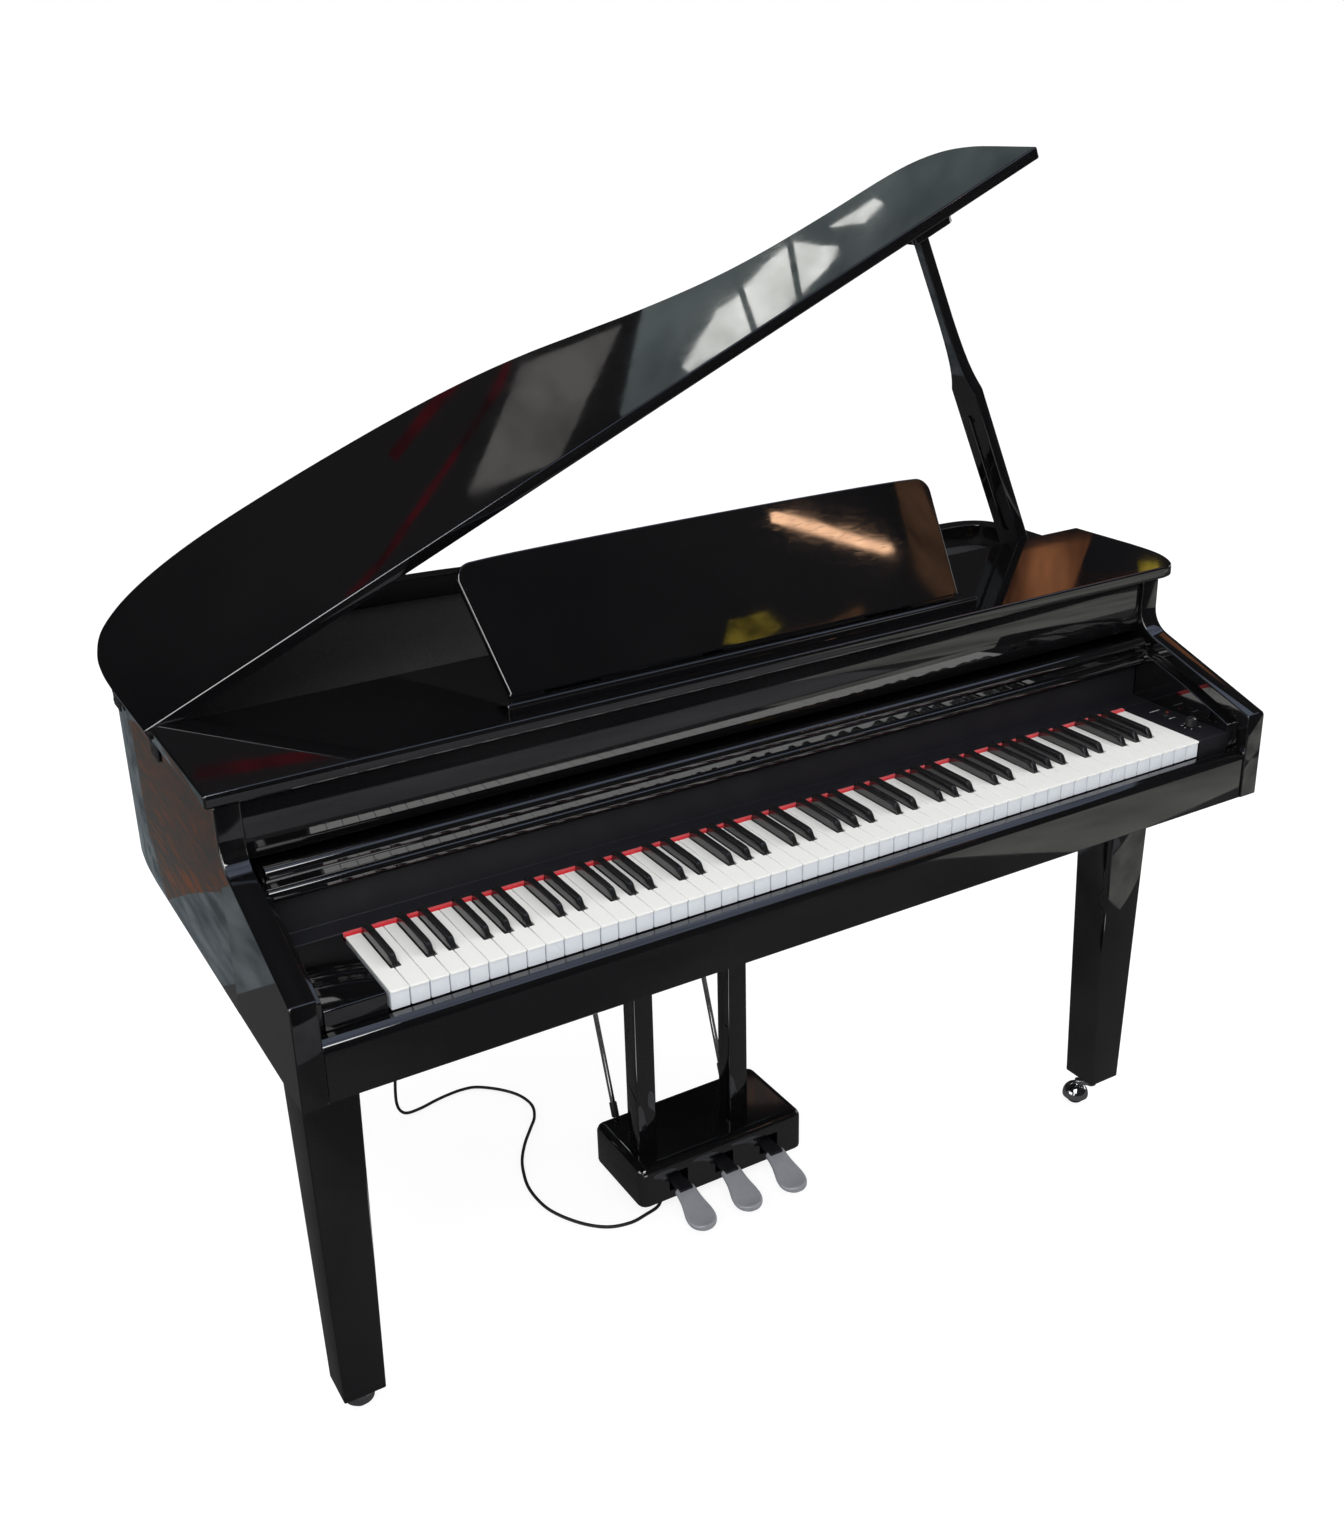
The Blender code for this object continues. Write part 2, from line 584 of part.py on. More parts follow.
# Music desk, ledge, hinge and strut.
DESK_HALF = 363.0
DESK_TALL = 172.0
ring = [(-DESK_HALF, -4.0), (DESK_HALF, -4.0)]
ring += arc(DESK_HALF - 16.0, DESK_TALL - 22.0, 22.0, 0.0, 88.0, 5)
crown = [(DESK_HALF * 0.92 * math.cos(math.radians(a)), DESK_TALL + 4.0 * math.sin(math.radians(a)))
         for a in range(15, 180, 15)]
ring += crown + arc(-DESK_HALF + 16.0, DESK_TALL - 22.0, 22.0, 92.0, 180.0, 5)
desk = extruded("music_desk", ring, 12.0, GLOSS, at(DESK_X, DESK_Y, DESK_Z))
for vertex in desk.data.vertices:
    vertex.co.z += 9.0 * MM
desk.rotation_euler.x = DESK_ANGLE
soften(desk, 1.5)
for x in (DESK_X - 250.0, DESK_X + 250.0):
    join(desk, round_bar("desk_knuckle", 3.3, 40.0, -40.0, SATIN, at(x, DESK_Y, DESK_Z), axis="X"))
smooth(desk, 30)
LEDGE = [(204.0, SHELF_TOP + GAP), (204.0, 919.0), (206.0, 921.6), (209.0, 921.6), (211.0, 919.0),
         (211.0, 914.0), (236.0, 914.0), (236.0, SHELF_TOP + GAP)]
smooth(rail("desk_ledge", LEDGE, 253.0, 982.0, GLOSS, 0.8, segments=1), 25)
strut = box("desk_strut", (DESK_X - 18.0, 0.0, -1.6), (DESK_X + 18.0, STRUT + 2.0, 1.6), SATIN, 0.0,
            (DESK_X, 0.0, 0.0))
strut.location = at(DESK_X, DESK_Y + STRUT * math.cos(DESK_ANGLE), DESK_Z + STRUT * math.sin(DESK_ANGLE))
strut.rotation_euler.x = -DESK_ANGLE
join(strut, round_bar("strut_barrel", 2.6, 18.0, -18.0, SATIN, strut.location, axis="X"))

# Lid, built flat about its hinge line and then swung open.
hinge_line = bpy.data.objects.new("lid_hinge_line", None)
PIANO.objects.link(hinge_line)
hinge_line.location = at(HINGE_X, LID_FRONT, HINGE_Z)
hinge_line.rotation_euler.y = -LID_ANGLE


def on_lid(obj):
    """Carry a piece on the lid: its place becomes measured from the hinge line."""
    obj.location = obj.location - hinge_line.location
    obj.parent = hinge_line
    return obj


lid = plate("lid", [tuple(p) for p in LID_EDGE], RIM_TOP + GAP, RIM_TOP + BOARD, GLOSS, 2.5,
            (HINGE_X, LID_FRONT), 1)
smooth(on_lid(lid), 30)
CUP_AT = 1282.6 + HINGE_X
cup = box("prop_cup", (CUP_AT - 24.0, PROP_Y - 20.0, RIM_TOP - 12.0),
          (CUP_AT + 52.0, PROP_Y + 20.0, RIM_TOP), GLOSS, 2.5)
socket = box("cup_socket", (CUP_AT - 60.0, PROP_Y - 9.5, RIM_TOP - 20.0),
             (CUP_AT + 9.5, PROP_Y + 9.5, RIM_TOP - 4.0), None)
for piece in (cup, socket):
    on_lid(piece)
cut(cup, cutter(socket))

for i, y in enumerate(HINGE_YS):
    leaf = box("lid_hinge_%d" % (i + 1), (LEFT_OUT - 3.0, y - 18.0, RIM_TOP - 34.0),
               (LEFT_OUT - GAP, y + 18.0, RIM_TOP - 1.0), SATIN, 0.5)
    hinge = at(HINGE_X, y, HINGE_Z)
    barrel = round_bar("barrel", 3.6, 18.0, -18.0, SATIN, hinge, axis="Y")
    pin = round_bar("pin", 1.8, 27.0, -21.0, SATIN, hinge, 8, "Y")
    join(leaf, barrel, pin)
    room = round_bar("hinge_room", 4.2, 30.0, -24.0, None, hinge, axis="Y")
    cut(lid, on_lid(cutter(room)))

# Prop: a slotted board that narrows to a stick, the short prop in its slot, and the bracket.
half = [(0.0, PROP_HALF), (PROP_SHOULDER, PROP_HALF)]
half += [(PROP_SHOULDER + PROP_TAPER * t, PROP_HALF - (PROP_HALF - PROP_TIP_HALF) * (t * (2.0 - t)) ** 0.8)
         for t in (0.15, 0.3, 0.5, 0.75, 1.0)]
half += [(PROP_LENGTH - 3.0, PROP_TIP_HALF), (PROP_LENGTH, PROP_TIP_HALF - 2.5)]
ring = [(s, -w) for s, w in half] + [(s, w) for s, w in half[::-1]]
prop = extruded("lid_prop", ring, 14.0, GLOSS, at(PROP_X, PROP_Y, PROP_Z))
slot_ring = arc(SLOT_END - SLOT_HALF, 0.0, SLOT_HALF, -90.0, 90.0, 8)
slot_ring += [(SLOT_START, SLOT_HALF), (SLOT_START, -SLOT_HALF)]
slot = extruded("prop_slot", slot_ring, 30.0, None, at(PROP_X, PROP_Y, PROP_Z))
foot = at(PROP_X, PROP_Y, PROP_Z)
eye = round_bar("prop_eye", 4.3, 40.0, -40.0, None, foot, 16, "Y")
heel = round_bar("prop_heel", 6.8, PROP_HALF - 0.6, 0.6 - PROP_HALF, GLOSS, foot, 16, "Y")
LEAN = -(math.pi / 2 + PROP_ANGLE)
prop.rotation_euler.y = LEAN
slot.rotation_euler.y = LEAN
UP_THE_PROP = Vector((-math.sin(PROP_ANGLE), 0.0, math.cos(PROP_ANGLE))) * MM
short_place = foot + UP_THE_PROP * SHORT_AT
short_eye = round_bar("short_prop_eye", 2.9, 16.0, -16.0, None, short_place, 16, "Y")
join(prop, heel)
cut(prop, cutter(slot), cutter(eye), cutter(short_eye))
short = box("short_prop", (-5.0, -5.0, -5.0), (SHORT_LENGTH, 5.0, 5.0), GLOSS, 0.0, (0.0, 0.0, 0.0))
short.location = short_place
short.rotation_euler.y = LEAN
join(short, round_bar("short_pin", 2.5, 15.0, -15.0, GLOSS, short_place, 16, "Y"))
EAR = 3.6
EAR_IN = PROP_HALF + 1.0
EAR_OUT = EAR_IN + EAR
bracket = box("prop_bracket", (PROP_X - 22.0, PROP_Y - EAR_OUT, SOUNDBOARD_TOP + GAP),
              (PROP_X + 22.0, PROP_Y + EAR_OUT, SOUNDBOARD_TOP + 4.0), BRASS)
ears = [box("bracket_ear", (PROP_X - 11.0, y, SOUNDBOARD_TOP + 1.0),
            (PROP_X + 11.0, y + EAR, RIM_TOP - 6.0), BRASS) for y in (PROP_Y - EAR_OUT, PROP_Y + EAR_IN)]
pin = round_bar("bracket_pin", 4.0, EAR_OUT - 1.6, 1.6 - EAR_OUT, BRASS, foot, 16, "Y")
join(bracket, *ears, pin)

# Legs, their plates and casters.
LEGS = {"left": (LEG_LEFT_X, LEG_FRONT_Y, 75.0), "right": (LEG_RIGHT_X, LEG_FRONT_Y, 142.0),
        "rear": (*LEG_REAR, 110.0)}
for name, (x, y, trail) in LEGS.items():
    bm = bmesh.new()
    bmesh.ops.create_cube(bm, size=1.0)
    for v in bm.verts:
        half_side = LEG_HALF_TOP if v.co.z > 0 else LEG_HALF_FOOT
        v.co = Vector((math.copysign(half_side, v.co.x), math.copysign(half_side, v.co.y),
                       (BODY_BOTTOM - 4.0 - LEG_BOTTOM) * (v.co.z + 0.5))) * MM
    leg = add("leg_" + name, mesh_from(bm, "leg_" + name), GLOSS, at(x, y, LEG_BOTTOM))
    soften(leg, 1.6)
    join(leg, box("plate", (x - 40.0, y - 40.0, BODY_BOTTOM - 4.2), (x + 40.0, y + 40.0, BOTTOM_UNDER - GAP),
                  BRASS))
    swing = math.radians(trail)
    cx, cy = x + CASTER_TRAIL * math.cos(swing), y + CASTER_TRAIL * math.sin(swing)
    bell = [(HOOD_OUT * math.sin(math.radians(a)), HOOD_Z + HOOD_OUT * math.cos(math.radians(a)))
            for a in range(0, 101, 25)]
    bell += [(HOOD_IN * math.sin(math.radians(a)), HOOD_Z + HOOD_IN * math.cos(math.radians(a)))
             for a in range(100, -1, -25)]
    hood = turned("caster_hood_" + name, bell, CHROME, at(cx, cy, 0.0), 16)
    stem_profile = [(0.0, LEG_BOTTOM - GAP), (13.0, LEG_BOTTOM - GAP), (13.0, 54.0), (9.0, 51.0), (9.0, 36.0),
                    (0.0, 36.0)]
    stem = turned("stem", stem_profile, CHROME, at(x, y, 0.0), 16)
    neck = box("neck", (-4.0, -6.0, 35.6), (CASTER_TRAIL + 2.0, 6.0, 44.0), CHROME, 0.0, (0.0, 0.0, 0.0))
    neck.location = at(x, y, 0.0)
    neck.rotation_euler.z = swing
    smooth(join(hood, stem, neck), 30)
    ball = [(0.0, WHEEL_RADIUS + 0.5), (3.0, WHEEL_RADIUS + 0.5), (3.0, 12.0)]
    ball += [(WHEEL_RADIUS * math.sin(math.radians(a)), WHEEL_RADIUS * math.cos(math.radians(a)))
             for a in (45, 67, 90, 113, 135)]
    ball += [(r, -h) for r, h in ball[2::-1]]
    wheel = turned("caster_wheel_" + name, ball, MATTE, at(cx, cy, WHEEL_RADIUS), 16)
    wheel.rotation_euler = (math.pi / 2, 0.0, swing)
    smooth(wheel, 40)

# Pedal lyre.
pedal_box = box("pedal_box", (LYRE_X - BOX_WIDTH / 2, BOX_FRONT, BOX_BOTTOM),
                (LYRE_X + BOX_WIDTH / 2, BOX_BACK, BOX_TOP), GLOSS, 10.0, segments=3)
smooth(pedal_box, 30)


def dip(forward):
    """How far a pedal's upper face lies below its highest level, in front of the box by a distance."""
    share = min(max((forward - 5.0) / 75.0, 0.0), 1.0)
    return 24.0 * share * share * (3.0 - 2.0 * share)


# A pedal's shoe in plan: half widths at distances in front of the box, then the round toe.
SHOE = [(14.0, 13.0), (17.0, 16.5), (26.0, 16.8), (36.0, 17.8), (46.0, 20.2), (55.0, 22.8)]
TOE = 23.4
for i, name in enumerate(("soft", "sostenuto", "damper")):
    x = LYRE_X + (i - 1) * PEDAL_STEP
    pocket = box("pocket", (x - POCKET_HALF, BOX_FRONT - 20.0, 45.0),
                 (x + POCKET_HALF, BOX_FRONT + 66.0, 76.0), None)
    cut(pedal_box, cutter(pocket))
    right = [(w, -d) for d, w in SHOE]
    plan = right + arc(0.0, -63.0, TOE, 0.0, -180.0, 10) + [(-w, y) for w, y in right[::-1]]
    pivot = at(x, BOX_FRONT + PEDAL_BACK, PEDAL_Z)
    shoe = extruded("shoe", plan, 10.5, SATIN, pivot)
    for vertex in shoe.data.vertices:
        vertex.co.z -= (dip(-vertex.co.y / MM) + 1.3) * MM
        vertex.co.y -= PEDAL_BACK * MM
    soften(shoe, 2.8, 2)
    pedal = box("pedal_" + name, (x - 11.5, BOX_FRONT - 24.0, PEDAL_Z - 3.5),
                (x + 11.5, BOX_FRONT + PEDAL_BACK + 8.0, PEDAL_Z + 3.5), SATIN, 0.0,
                (x, BOX_FRONT + PEDAL_BACK, PEDAL_Z))
    pin = round_bar("pedal_pin", 3.0, 16.2, -16.2, SATIN, pivot, axis="X")
    smooth(join(pedal, shoe, pin), 40)
for name, x in POST_XS.items():
    box("lyre_post_" + name, (x - POST_HALF, POST_Y[0], BOX_TOP + GAP),
        (x + POST_HALF, POST_Y[1], BOTTOM_UNDER - GAP), GLOSS, 1.2)
for name, x in BRACE_XS.items():
    foot, head = at(x, BRACE_FOOT_Y, BOX_TOP + 1.0), at(x, BRACE_HEAD_Y, BOTTOM_UNDER - 2.0)
    run = head - foot
    length = run.length / MM
    profile = [(0.0, length), (4.0, length), (4.0, 26.0), (6.0, 26.0), (6.0, 2.6), (0.0, 2.6)]
    rod = turned("brace_" + name, profile, CHROME, foot, 16)
    rod.rotation_euler = run.to_track_quat("Z", "Y").to_euler()
    smooth(rod, 30)

# Pedal cord: it drops from a plug under the body, runs over the floor and goes up into the pedal box.
CORD_RADIUS = 2.6
CORD_ROUTE = [(262, 700, 596), (262, 700, 560), (259, 708, 430), (252, 724, 250), (243, 738, 100),
              (241, 744, 46), (243, 746, 20), (249, 743, 7.5), (260, 740, 3.6), (284, 742, 3.0),
              (310, 748, 3.0), (335, 752, 3.0), (363, 753, 3.0), (389, 746, 3.0), (420, 718, 3.0),
              (441, 685, 3.0), (447, 649, 3.0), (436, 617, 3.0), (417, 593, 3.0), (390, 560, 3.0),
              (368, 525, 3.0), (355, 492, 3.0), (347, 460, 3.0), (346, 426, 3.0), (351, 394, 3.0),
              (365, 362, 3.0), (386, 332, 3.0), (412, 311, 3.0), (444, 303, 3.0), (472, 307, 3.0),
              (496, 312, 4.5), (508, 320, 12.0), (511, 323, 22.0), (511, 323, BOX_BOTTOM - GAP)]
path = flow(CORD_ROUTE, 2)
curve = bpy.data.curves.new("pedal_cord", "CURVE")
curve.dimensions = "3D"
curve.bevel_depth = CORD_RADIUS * MM
curve.bevel_resolution = 2
curve.use_fill_caps = True
spline = curve.splines.new("POLY")
spline.points.add(len(path) - 1)
for point, place in zip(spline.points, path):
    point.co = (*at(*place), 1.0)
cord = bpy.data.objects.new("pedal_cord", curve)
PIANO.objects.link(cord)
curve.materials.append(CABLE)
PLUG = [(0.0, BOTTOM_UNDER + 2.0), (6.5, BOTTOM_UNDER + 2.0), (6.5, 604.0), (4.5, 600.0), (4.5, 596.3),
        (0.0, 596.3)]
join(bottom_board, turned("cord_plug", PLUG, CABLE, at(262.0, 700.0, 0.0), 16))
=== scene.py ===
# %% [markdown]
# A digital baby grand piano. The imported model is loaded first: its solids stay where they are, and
# every finer surface made below rides on one of its bodies, so that it moves with the same joints.

import bpy
import numpy as np
from mathutils import Matrix, Vector


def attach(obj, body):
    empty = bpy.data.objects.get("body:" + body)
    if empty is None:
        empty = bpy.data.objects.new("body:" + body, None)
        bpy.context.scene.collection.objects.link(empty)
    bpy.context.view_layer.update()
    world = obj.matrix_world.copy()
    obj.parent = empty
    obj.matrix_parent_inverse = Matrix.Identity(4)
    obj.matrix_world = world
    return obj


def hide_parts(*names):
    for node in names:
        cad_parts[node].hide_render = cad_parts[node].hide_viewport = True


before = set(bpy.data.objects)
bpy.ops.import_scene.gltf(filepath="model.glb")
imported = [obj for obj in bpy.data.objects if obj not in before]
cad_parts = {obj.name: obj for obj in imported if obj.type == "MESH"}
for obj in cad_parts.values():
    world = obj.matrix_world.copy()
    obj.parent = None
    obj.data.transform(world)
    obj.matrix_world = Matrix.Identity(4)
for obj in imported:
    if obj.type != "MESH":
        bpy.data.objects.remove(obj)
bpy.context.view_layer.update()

# %% [markdown]
# Sizes are in millimetres in the piano's own layout: X from the left end of the keyboard, Y from the
# front of the white keys to the tail, Z up from the floor. One function turns them into metres about
# the middle of the footprint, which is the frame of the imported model.

# %% Places
MM = 0.001
MIDDLE = np.array([623.8, 454.0, 0.0])


def at(points):
    """Places in millimetres as places in metres: the middle of the footprint is taken away."""
    return (np.asarray(points, dtype=float) - MIDDLE) * MM


# %% [markdown]
# The camera stands in front of the bass half and looks down on the keyboard. Its place and its three
# axes were fitted to the key fronts, the shelf, the lid and the feet in the photograph. A long lens
# would flatten the piano; this one is a normal lens at about two metres.

# %% Camera
camera_data = bpy.data.cameras.new("photographer")
camera_data.lens = 36.87
camera_data.sensor_width = 36.0
camera_data.shift_x = 0.0436
camera_data.shift_y = -0.0437
camera = bpy.data.objects.new("photographer", camera_data)
bpy.context.scene.collection.objects.link(camera)
camera.matrix_world = Matrix(((0.874779, 0.209376, -0.436949, -1.095658),
                              (-0.482866, 0.302240, -0.821883, -1.860048),
                              (-0.040019, 0.929953, 0.365494, 1.612544),
                              (0.0, 0.0, 0.0, 1.0)))
bpy.context.scene.camera = camera
bpy.context.scene.view_settings.view_transform = "Standard"

# %% [markdown]
# The pedal cord is a thin limp cable. It leaves a small plug under the body, drops behind the left
# leg, lies on the floor in one loose bow and goes up into the pedal box. A curve with a round bevel
# is the natural form: its own line is the real length.

# %% Pedal cord
CORD_ROUTE = [(262, 700, 596), (262, 700, 560), (259, 708, 430), (252, 724, 250), (243, 738, 100),
              (241, 744, 46), (243, 746, 20), (249, 743, 7.5), (260, 740, 3.6), (284, 742, 3.0),
              (310, 748, 3.0), (335, 752, 3.0), (363, 753, 3.0), (389, 746, 3.0), (420, 718, 3.0),
              (441, 685, 3.0), (447, 649, 3.0), (436, 617, 3.0), (417, 593, 3.0), (390, 560, 3.0),
              (368, 525, 3.0), (355, 492, 3.0), (347, 460, 3.0), (346, 426, 3.0), (351, 394, 3.0),
              (365, 362, 3.0), (386, 332, 3.0), (412, 311, 3.0), (444, 303, 3.0), (472, 307, 3.0),
              (496, 312, 4.5), (508, 320, 12.0), (511, 323, 22.0), (511, 323, 29.7)]


def flowing(points, per_span):
    """A smooth path through points: each span is the cubic that leaves a point along the line
    between its two neighbours (Catmull-Rom), worked out for all spans at once."""
    p = np.array(points, dtype=float)
    p = np.vstack([p[:1], p, p[-1:]])
    t = (np.arange(per_span) / per_span)[None, :, None]
    p0, p1, p2, p3 = (p[i:len(p) - 3 + i][:, None, :] for i in range(4))
    spans = 0.5 * (2 * p1 + (p2 - p0) * t + (2 * p0 - 5 * p1 + 4 * p2 - p3) * t ** 2
                   + (3 * p1 - p0 - 3 * p2 + p3) * t ** 3)
    return np.vstack([spans.reshape(-1, p.shape[1]), p[-1:]])


cord_path = at(flowing(CORD_ROUTE, 5))
cord_curve = bpy.data.curves.new("pedal_cord_line", "CURVE")
cord_curve.dimensions = "3D"
cord_curve.bevel_depth = 1.0
cord_curve.bevel_resolution = 3
cord_curve.use_fill_caps = True
cord_spline = cord_curve.splines.new("POLY")
cord_spline.points.add(len(cord_path) - 1)
cord_spline.points.foreach_set("co", np.column_stack([cord_path, np.ones(len(cord_path))]).ravel())
cord_spline.points.foreach_set("radius", np.full(len(cord_path), 2.6 * MM))
pedal_cord = bpy.data.objects.new("pedal_cord_line", cord_curve)
bpy.context.scene.collection.objects.link(pedal_cord)
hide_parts("pedal_cord")
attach(pedal_cord, "case")

# %% [markdown]
# Nearly every piece of a piano case is a flat board with softly rounded edges, a strip of one
# cross-section, or a turned part. All of them can be written as rings of points that are joined ring
# by ring, so one function turns a grid of points into a closed surface, and a few others work out
# the grids: a board from its outline, a strip from its section, a turned piece from its profile.

# %% A surface from rings
def ring_mesh(name, rings, parts=None, sharp=35.0):
    """A closed surface: ring k is joined to ring k+1 by a band of four-sided faces, and the first and
    last rings are closed by one flat face each, or to each other where they are the same ring. rings
    is one array (rings, points, 3) in millimetres, or a list of them for a piece of several parts."""
    grids = rings if isinstance(rings, list) else [rings]
    places, faces, looks, first = [], [], [], 0
    for which, grid in enumerate(grids):
        wrapped = np.allclose(grid[0], grid[-1])
        grid = grid[:-1] if wrapped else grid
        count, around = grid.shape[:2]
        k, j = np.meshgrid(np.arange(count if wrapped else count - 1), np.arange(around), indexing="ij")
        after, above = (j + 1) % around, (k + 1) % count
        band = np.stack([k * around + j, k * around + after, above * around + after, above * around + j],
                        -1).reshape(-1, 4) + first
        ends = [] if wrapped else [list(range(first + around - 1, first - 1, -1)),
                                   list(range(first + (count - 1) * around, first + count * around))]
        faces += band.tolist() + ends
        looks += [0 if parts is None else parts[which]] * (len(band) + len(ends))
        places.append(grid.reshape(-1, 3))
        first += count * around
    mesh = bpy.data.meshes.new(name)
    mesh.from_pydata(at(np.vstack(places)), [], faces)
    mesh.polygons.foreach_set("material_index", np.array(looks, dtype=np.int32))
    mesh.shade_smooth()
    mesh.set_sharp_from_angle(angle=np.radians(sharp))
    mesh.validate()
    return mesh


def shell(name, rings, body, look, stands_for=(), sharp=35.0, parts=None):
    """A piece from rings, with its finish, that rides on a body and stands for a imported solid."""
    mesh = ring_mesh(name, rings, parts, sharp)
    for finish in (look if isinstance(look, (list, tuple)) else [look]):
        mesh.materials.append(finish)
    piece = bpy.data.objects.new(name, mesh)
    bpy.context.scene.collection.objects.link(piece)
    if stands_for:
        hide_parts(*([stands_for] if isinstance(stands_for, str) else stands_for))
    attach(piece, body)
    return piece


# %% [markdown]
# A real board never has a knife edge: polyester is sanded to a small radius that catches a line of
# light. So a board's outline is first given round corners, and then its faces are drawn in by the
# edge radius. A narrow flat strip just inside each edge keeps the big faces shaded dead flat.

# %% Outlines and boards
def fillet(corners, radius, steps=5):
    """Each corner of a flat outline becomes an arc of a circle that touches both of its sides. The
    circle's centre lies on the corner's bisector, and the arc turns from one touching point to the
    other. A radius of 0 keeps the corner."""
    p = np.array(corners, dtype=float)
    r = np.broadcast_to(np.asarray(radius, dtype=float), len(p))[:, None]
    before, after = np.roll(p, 1, 0) - p, np.roll(p, -1, 0) - p
    before /= np.linalg.norm(before, axis=1, keepdims=True)
    after /= np.linalg.norm(after, axis=1, keepdims=True)
    half = np.arccos(np.clip((before * after).sum(1, keepdims=True), -0.999999, 0.999999)) / 2
    middle = before + after
    middle /= np.maximum(np.linalg.norm(middle, axis=1, keepdims=True), 1e-9)
    centre = p + middle * r / np.sin(half)
    start, end = p + before * r / np.tan(half) - centre, p + after * r / np.tan(half) - centre
    t, turn = np.linspace(0, 1, steps)[None, :, None], (np.pi - 2 * half)[:, None, :]
    arcs = (start[:, None] * np.sin((1 - t) * turn) + end[:, None] * np.sin(t * turn)) / np.sin(turn)
    ring = (centre[:, None] + arcs).reshape(-1, 2)
    return ring[np.linalg.norm(ring - np.roll(ring, 1, 0), axis=1) > 1e-3]


def drawn_in(outline, distance):
    """An outline moved inwards: each point goes along the mitre of the normals of its two sides."""
    side = np.roll(outline, -1, 0) - outline
    side /= np.linalg.norm(side, axis=1, keepdims=True)
    normal = np.stack([-side[:, 1], side[:, 0]], -1)
    other = np.roll(normal, 1, 0)
    return outline + distance * (normal + other) / (1 + (normal * other).sum(1, keepdims=True))


AXES = {"Z": (0, 1, 2), "X": (1, 2, 0), "Y": (0, 2, 1)}


def board(outline, low, high, edge=1.5, steps=4, axis="Z", strip=0.5):
    """The rings of a board: the outline, drawn in along a quarter circle at its lower and its upper
    edge. With axis X the outline is (Y, Z) and low to high runs along X; with axis Y it is (X, Z)."""
    outline = np.array(outline, dtype=float)
    area = (outline[:, 0] * np.roll(outline[:, 1], -1) - outline[:, 1] * np.roll(outline[:, 0], -1)).sum()
    if (area < 0) != (axis == "Y"):
        outline = outline[::-1]
    inwards = -1.0 if axis == "Y" else 1.0
    low_edge, high_edge = (edge if isinstance(edge, (list, tuple)) else (edge, edge))
    turn = np.linspace(0, np.pi / 2, steps + 1)
    draw = np.concatenate([[low_edge + strip], low_edge * (1 - np.sin(turn)), high_edge * (1 - np.cos(turn)),
                           [high_edge + strip]])
    height = np.concatenate([[low], low + low_edge * (1 - np.cos(turn)), high - high_edge * (1 - np.sin(turn)),
                             [high]])
    flat = np.stack([drawn_in(outline, inwards * d) for d in draw])
    grid = np.empty(flat.shape[:2] + (3,))
    u, v, w = AXES[axis]
    grid[..., u], grid[..., v], grid[..., w] = flat[..., 0], flat[..., 1], height[:, None]
    return grid


def pierced(outer, inner, low, high, edge=1.0, steps=3, axis="Z"):
    """The rings of a board with one hole: both outlines get points at the same shares of their length,
    and the rings go up the outside, over the top, down the inside and back to the first."""
    lines = [np.vstack([line, line[:1]]) for line in (np.array(outer, dtype=float), np.array(inner, dtype=float))]
    shares = [np.concatenate([[0], np.cumsum(np.linalg.norm(np.diff(line, axis=0), axis=1))]) for line in lines]
    shares = [share / share[-1] for share in shares]
    common = np.unique(np.round(np.concatenate(shares), 7))[:-1]
    outer, inner = (np.stack([np.interp(common, share, line[:, i]) for i in (0, 1)], -1)
                    for line, share in zip(lines, shares))
    wall = board(outer, low, high, edge, steps, axis)
    hole = board(inner, low, high, edge, steps, axis)
    middle = hole[len(hole) // 2]
    widened = middle + (middle - hole)
    widened[..., AXES[axis][2]] = hole[..., AXES[axis][2]]
    return np.concatenate([wall, widened[::-1], wall[:1]])


def turned(profile, centre, around=32, axis="Z"):
    """A turned piece: each (radius, height) of the profile, from low to high, goes round the axis."""
    turn = np.linspace(0, 2 * np.pi, around, endpoint=False)
    r, h = np.array(profile, dtype=float).T
    a, b = r[:, None] * np.cos(turn), r[:, None] * np.sin(turn)
    c = np.broadcast_to(h[:, None], a.shape)
    order = {"Z": (a, b, c), "X": (c, a, b), "Y": (b, c, a)}[axis]
    return np.stack(order, -1) + np.array(centre, dtype=float)


def soft_profile(corners, radius, steps=4):
    """The profile of a turned piece from its lower face to its upper one, each corner rounded. A
    narrow strip inside each face keeps that face flat."""
    body = np.array(corners, dtype=float)
    ring = fillet(np.vstack([[[-40.0, body[0, 1]]], body, [[-40.0, body[-1, 1]]]]),
                  np.concatenate([[0.0], np.broadcast_to(radius, len(body)), [0.0]]), steps)[1:-1]
    return np.vstack([[[ring[0, 0] * 0.9, ring[0, 1]]], ring, [[ring[-1, 0] * 0.9, ring[-1, 1]]]])


def spun(points, angle, pivot, axis):
    """Points in millimetres turned by an angle in degrees about a line through the pivot."""
    c, s = np.cos(np.radians(angle)), np.sin(np.radians(angle))
    turn = {"X": [[1, 0, 0], [0, c, -s], [0, s, c]], "Y": [[c, 0, s], [0, 1, 0], [-s, 0, c]],
            "Z": [[c, -s, 0], [s, c, 0], [0, 0, 1]]}[axis]
    return (np.asarray(points) - pivot) @ np.array(turn).T + pivot


def block(low, high, edge=1.5, steps=3, round_corners=None):
    """The rings of a block between two corners, with rounded upright corners and rounded edges."""
    corners = [(low[0], low[1]), (high[0], low[1]), (high[0], high[1]), (low[0], high[1])]
    radius = round_corners if round_corners is not None else max(np.max(edge) + 0.6, 0.8)
    return board(fillet(corners, radius, 4), low[2], high[2], edge, steps)


print("board", board(fillet([(0, 0), (10, 0), (10, 10), (0, 10)], 2), 0, 5).shape, "points in a board's grid")

